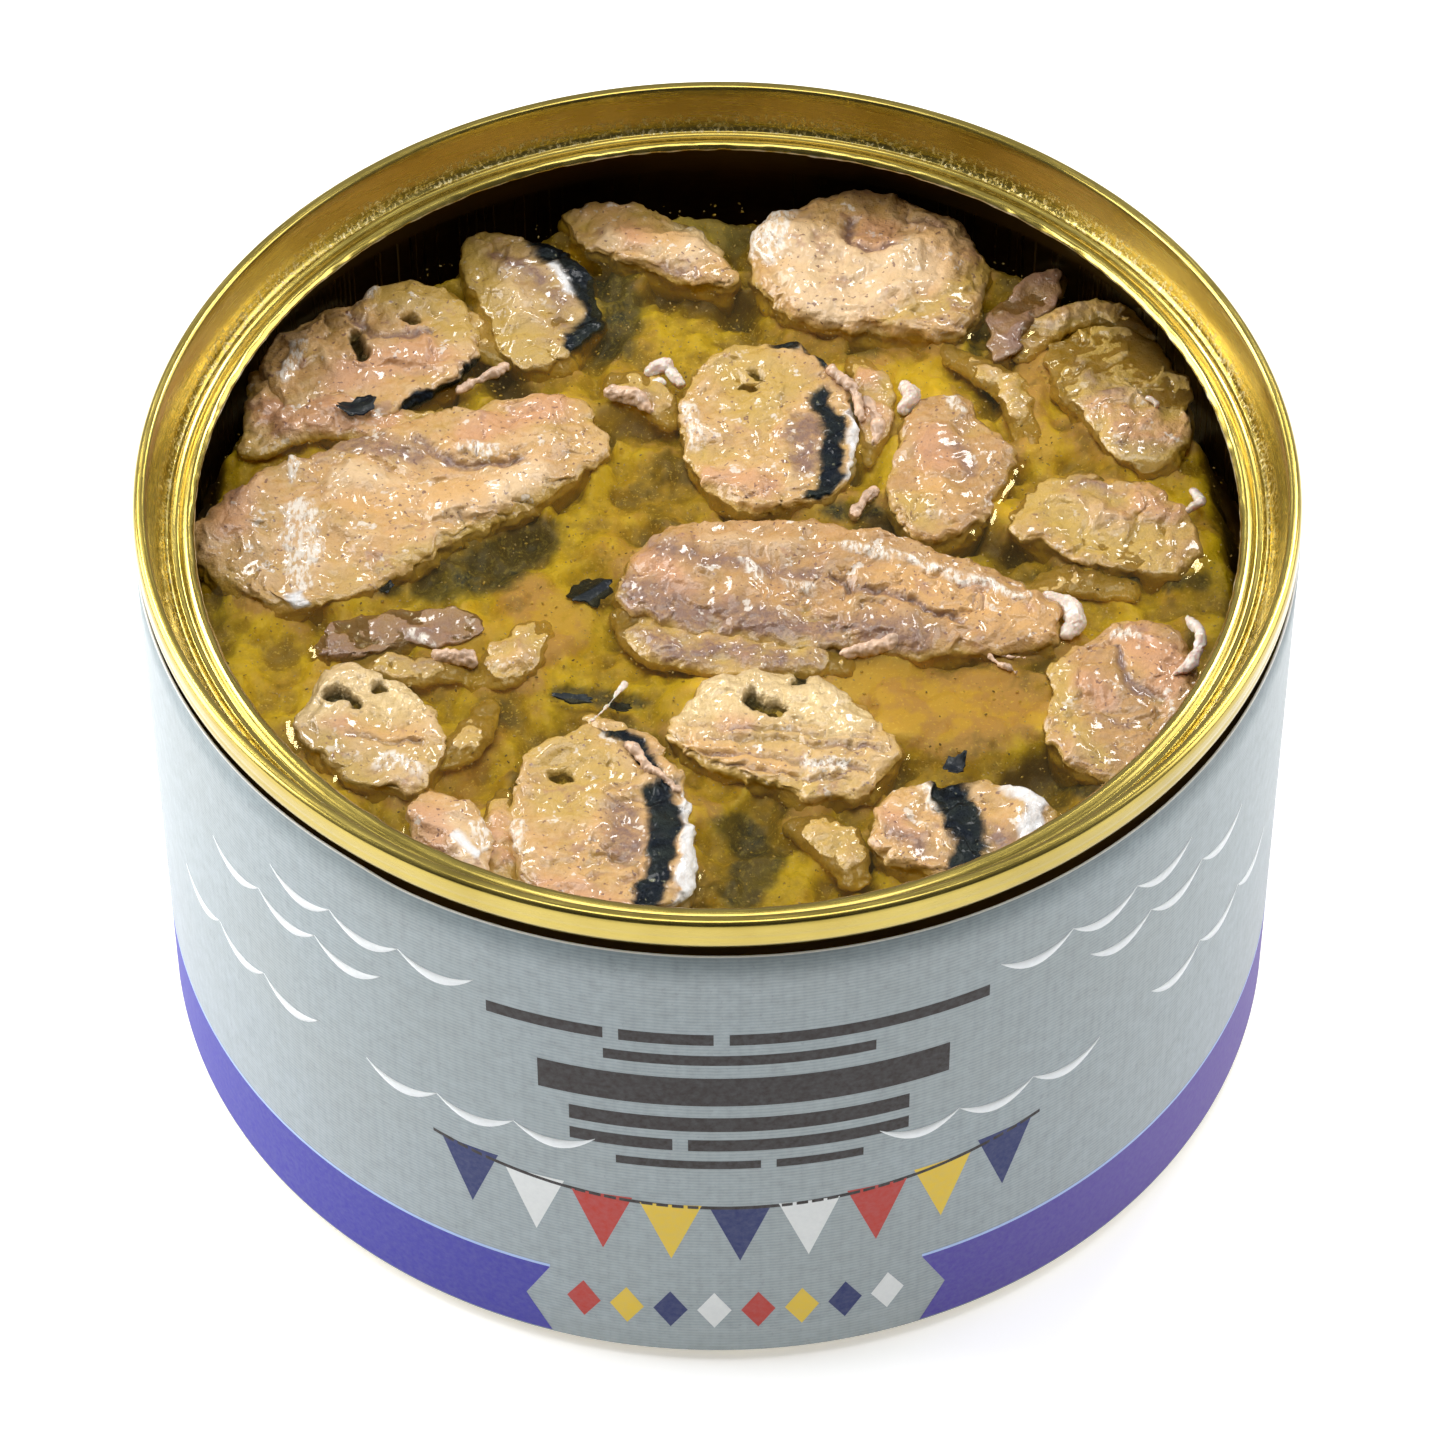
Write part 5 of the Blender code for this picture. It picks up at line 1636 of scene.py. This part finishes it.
def skin_scraps():
    """Torn scraps of back skin that lie on the flesh and in the oil."""
    scraps = [curled_scrap((-27.7, 15.2, 43.35), (2.9, 2.0), 15.0, 0.5, 3),
              curled_scrap((-9.5, -2.7, 41.84), (3.2, 2.8), 40.0, 0.05, 15),
              curled_scrap((-25.2, -2.0, 42.1), (1.6, 2.2), 20.0, 0.2, 6),
              curled_scrap((-10.6, -13.6, 41.85), (2.6, 0.9), -8.0, 0.1, 7),
              curled_scrap((-7.2, -14.4, 41.9), (2.0, 0.8), -14.0, 0.1, 11),
              curled_scrap((17.2, -21.6, 43.2), (1.9, 1.5), 70.0, 0.4, 8)]
    settle(new_object("skin_scraps", mesh_of("skin_scraps", scraps)), "skin", torn_skin_material())


def white_curds():
    """Curds of white fat, and one thin bone sliver."""
    curds = [tube(((24.6, -3.6, 42.2), (26.2, -4.8, 42.5), (26.7, -6.4, 42.5), (26.0, -7.7, 42.2)),
                  (0.35, 0.75, 0.8, 0.45), flatten=0.8),
             tube(((36.2, 7.0, 42.3), (36.6, 5.8, 42.5), (35.8, 5.0, 42.3)), (0.3, 0.5, 0.3)),
             tube(((35.0, -7.2, 43.4), (35.8, -9.2, 43.6), (35.0, -11.6, 43.5), (33.8, -12.6, 43.3)),
                  (0.25, 0.5, 0.5, 0.25)),
             tube(((14.4, 18.2, 42.3), (15.0, 17.0, 42.5), (14.4, 15.9, 42.2)), (0.5, 0.8, 0.5)),
             tube(((33.2, 16.4, 42.9), (33.8, 15.7, 42.9)), (0.2, 0.28)),
             tube(((-5.2, 20.2, 42.0), (-4.0, 20.9, 42.1)), (0.5, 0.6)),
             tube(((-3.5, 20.1, 42.0), (-2.9, 19.0, 41.9)), (0.5, 0.4)),
             tube(((-4.6, 19.3, 41.9), (-4.2, 19.0, 41.9)), (0.4, 0.3)),
             tube(((-6.9, -12.5, 42.35), (-8.1, -15.0, 42.7), (-9.3, -17.6, 43.9)), (0.22, 0.12, 0.1),
                  flatten=0.8)]
    settle(roughened("white_curds", curds, 0.07, 0.18, 61), "flesh", curd_material())


def joining_flesh():
    """The bridges of flesh between the pieces, with their tissues."""
    bridges = roughened("flesh_bridges", flesh_bridges(), 0.16, 0.34, 83, 2.0)
    points = read_points(bridges.data) / MM
    bridge_marks = (("pink", 2.0, (-34.0, 15.0), (-26.0, 15.0)),
                    ("brown", 1.6, (-7.0, -6.0), (-3.0, -9.6), (10.0, -11.0)),
                    ("pink", 1.4, (11.0, 20.0), (12.4, 12.0)),
                    ("brown", 1.0, (-28.0, -10.6), (-19.0, -11.4)),
                    ("pink", 1.4, (-16.0, -23.0), (-15.4, -33.0)),
                    ("brown", 0.7, (-8.0, 19.0), (-5.0, 17.0)))
    fields, _ = marked(points, bridge_marks, 83)
    # Random patches for the flesh material's painted ridge highlight and hollow shade
    fields["relief"][:, 0] = smooth_step(0.0, 0.5, layered_noise(points, 1.6, 85, 2))
    fields["relief"][:, 1] = smooth_step(0.0, 0.5, layered_noise(points, 1.9, 86, 2))
    store_fields(bridges.data, fields)
    settle(bridges, "flesh", bpy.data.materials["flesh_fine"])


def flesh_shreds():
    """Thin shreds of flesh that lie across the gaps."""
    shreds = [tube(((9.4, -9.4, 42.0), (11.6, -8.9, 42.35), (14.6, -8.2, 42.2)), (0.3, 0.6, 0.4)),
              tube(((-20.8, -9.4, 42.1), (-18.4, -9.9, 42.2)), (0.5, 0.6)),
              tube(((20.0, -9.4, 42.1), (21.0, -10.6, 42.2), (22.2, -11.4, 42.1)), (0.12, 0.14, 0.08)),
              tube(((20.6, -9.6, 42.15), (22.8, -10.0, 42.2)), (0.1, 0.06)),
              tube(((11.6, 16.4, 42.2), (12.4, 14.2, 42.3), (12.0, 12.4, 42.1)), (0.4, 0.5, 0.3)),
              tube(((-8.2, 17.8, 42.2), (-6.4, 17.2, 42.35), (-5.2, 16.0, 42.1)), (0.6, 0.7, 0.4)),
              tube(((-20.0, 18.4, 42.0), (-16.4, 20.6, 42.1)), (0.3, 0.3)),
              tube(((10.4, 5.2, 41.9), (12.0, 7.4, 42.1)), (0.5, 0.4)),
              tube(((8.8, 19.6, 42.9), (10.4, 17.4, 43.0), (11.2, 14.6, 42.7)), (0.35, 0.45, 0.3)),
              tube(((-6.6, -19.0, 43.0), (-5.0, -21.4, 43.1), (-2.8, -23.4, 42.8)), (0.3, 0.35, 0.25))]
    shred = speck_material("flesh_shred", (0.72, 0.48, 0.32), 0.32)
    settle(roughened("flesh_shreds", shreds, 0.09, 0.30, 67), "flesh", shred)


class FISHTIN_OT_scraps(bpy.types.Operator):
    """Makes torn scraps of skin, white curds, a bone sliver and shreds of flesh"""
    bl_idname = "fishtin.scraps"
    bl_label = "Scraps and curds"

    def execute(self, context):
        skin_scraps()
        white_curds()
        joining_flesh()
        flesh_shreds()
        return {"FINISHED"}


def area_light(name, at, target, size, power):
    """A rectangular softbox that faces its target."""
    lamp = bpy.data.lights.new(name, "AREA")
    lamp.shape = "RECTANGLE"
    lamp.size = size[0]
    lamp.size_y = size[1]
    lamp.energy = power
    obj = bpy.data.objects.new(name, lamp)
    bpy.context.scene.collection.objects.link(obj)
    obj.location = at
    obj.rotation_euler = (Vector(target) - Vector(at)).to_track_quat("-Z", "Y").to_euler()


def lay_floor():
    """A wide white floor just under the tin."""
    mesh = bpy.data.meshes.new("pale_floor")
    bm = bmesh.new()
    bmesh.ops.create_grid(bm, x_segments=1, y_segments=1, size=3.0)
    bmesh.ops.translate(bm, verts=bm.verts, vec=(0.0, 0.0, -0.00005))
    bm.to_mesh(mesh)
    bm.free()
    floor = new_object("pale_floor", mesh)
    material, _, shader, _ = new_material("floor_white", base_color=(0.92, 0.92, 0.92), roughness=0.9)
    shader.inputs["Emission Color"].default_value = (1.0, 1.0, 1.0, 1.0)
    shader.inputs["Emission Strength"].default_value = 0.42
    material.cycles.emission_sampling = "NONE"
    mesh.materials.append(material)


def light_world(ambient):
    """The studio's even light: grey from the front, white from behind."""
    world = bpy.data.worlds.new("studio")
    world.use_nodes = True
    sky = world.node_tree
    background = sky.nodes["Background"]
    aim_y = parted(sky, add(sky, "ShaderNodeTexCoord").outputs["Generated"])["Y"]
    tone = blend(sky, between(sky, aim_y, -0.75, 0.25), (0.16, 0.16, 0.16), (1.0, 1.0, 1.0))
    sky.links.new(tone, background.inputs["Color"])
    background.inputs["Strength"].default_value = ambient
    bpy.context.scene.world = world


def hang_lights(studio):
    """Softboxes at both sides and above, and two small lights behind for the wet glints."""
    aim = (0.0, 0.0, 0.04)
    lamps = (("left_softbox", (-0.42, 0.10, 0.26), (0.34, 0.34), studio.key * 1.15),
             ("right_softbox", (0.42, 0.12, 0.28), (0.34, 0.34), studio.key * 0.54),
             ("top_softbox", (0.0, -0.04, 0.62), (0.34, 0.28), studio.top),
             ("glint_left", (-0.23, 0.34, 0.50), (0.10, 0.10), studio.glint),
             ("glint_right", (0.21, 0.36, 0.50), (0.10, 0.10), studio.glint))
    for name, at, size, power in lamps:
        area_light(name, at, aim, size, power)


def place_camera(length):
    """The camera that was fitted to the photograph."""
    lens = bpy.data.cameras.new("camera")
    lens.sensor_width = 36.0
    lens.lens = length
    lens.clip_start = 0.01
    camera = new_object("camera", lens)
    elevation = math.radians(CAMERA_ELEVATION)
    roll = math.radians(CAMERA_ROLL)
    forward = Vector((0.0, math.cos(elevation), -math.sin(elevation)))
    up = Vector((0.0, math.sin(elevation), math.cos(elevation)))
    side = Vector((math.cos(roll), 0.0, 0.0)) + up * math.sin(roll)
    top = up * math.cos(roll) - Vector((math.sin(roll), 0.0, 0.0))
    turn = Matrix((side, top, -forward)).transposed()
    camera.matrix_world = Matrix.Translation(CAMERA_PLACE) @ turn.to_4x4()
    bpy.context.scene.camera = camera


class FISHTIN_OT_stage(bpy.types.Operator):
    """Sets the pale floor, the soft studio lights and the camera at the photograph's angle"""
    bl_idname = "fishtin.stage"
    bl_label = "Stage"

    def execute(self, context):
        studio = active_settings().studio
        lay_floor()
        light_world(studio.ambient)
        hang_lights(studio)
        context.scene.view_settings.view_transform = "Standard"
        place_camera(studio.lens)
        return {"FINISHED"}


class FISHTIN_PT_panel(bpy.types.Panel):
    """Lists the pieces of the tin in the 3D view's sidebar"""
    bl_idname = "FISHTIN_PT_panel"
    bl_label = "Fish Tin"
    bl_space_type = "VIEW_3D"
    bl_region_type = "UI"
    bl_category = "Fish Tin"

    def draw(self, context):
        settings = context.scene.fish_tin
        for part in ("metal", "label", "flesh", "oil", "studio"):
            box = self.layout.box()
            group = getattr(settings, part)
            for name in group.__annotations__:
                box.prop(group, name)
        for operator in OPERATORS:
            self.layout.operator(operator.bl_idname)


OPERATORS = (FISHTIN_OT_stage, FISHTIN_OT_can, FISHTIN_OT_ring, FISHTIN_OT_label, FISHTIN_OT_print,
             FISHTIN_OT_fish, FISHTIN_OT_bed, FISHTIN_OT_scraps, FISHTIN_OT_oil, FISHTIN_OT_flakes)
GROUPS = (TinMetalSettings, TinLabelSettings, TinFleshSettings, TinOilSettings, TinStudioSettings,
          FishTinSettings)


def register():
    for cls in GROUPS + OPERATORS + (FISHTIN_PT_panel,):
        bpy.utils.register_class(cls)
    bpy.types.Scene.fish_tin = bpy.props.PointerProperty(type=FishTinSettings)


def unregister():
    del bpy.types.Scene.fish_tin
    for cls in reversed(GROUPS + OPERATORS + (FISHTIN_PT_panel,)):
        bpy.utils.unregister_class(cls)


def main():
    register()
    for operator in OPERATORS:
        family, name = operator.bl_idname.split(".")
        getattr(getattr(bpy.ops, family), name)()


if __name__ == "__main__":
    main()
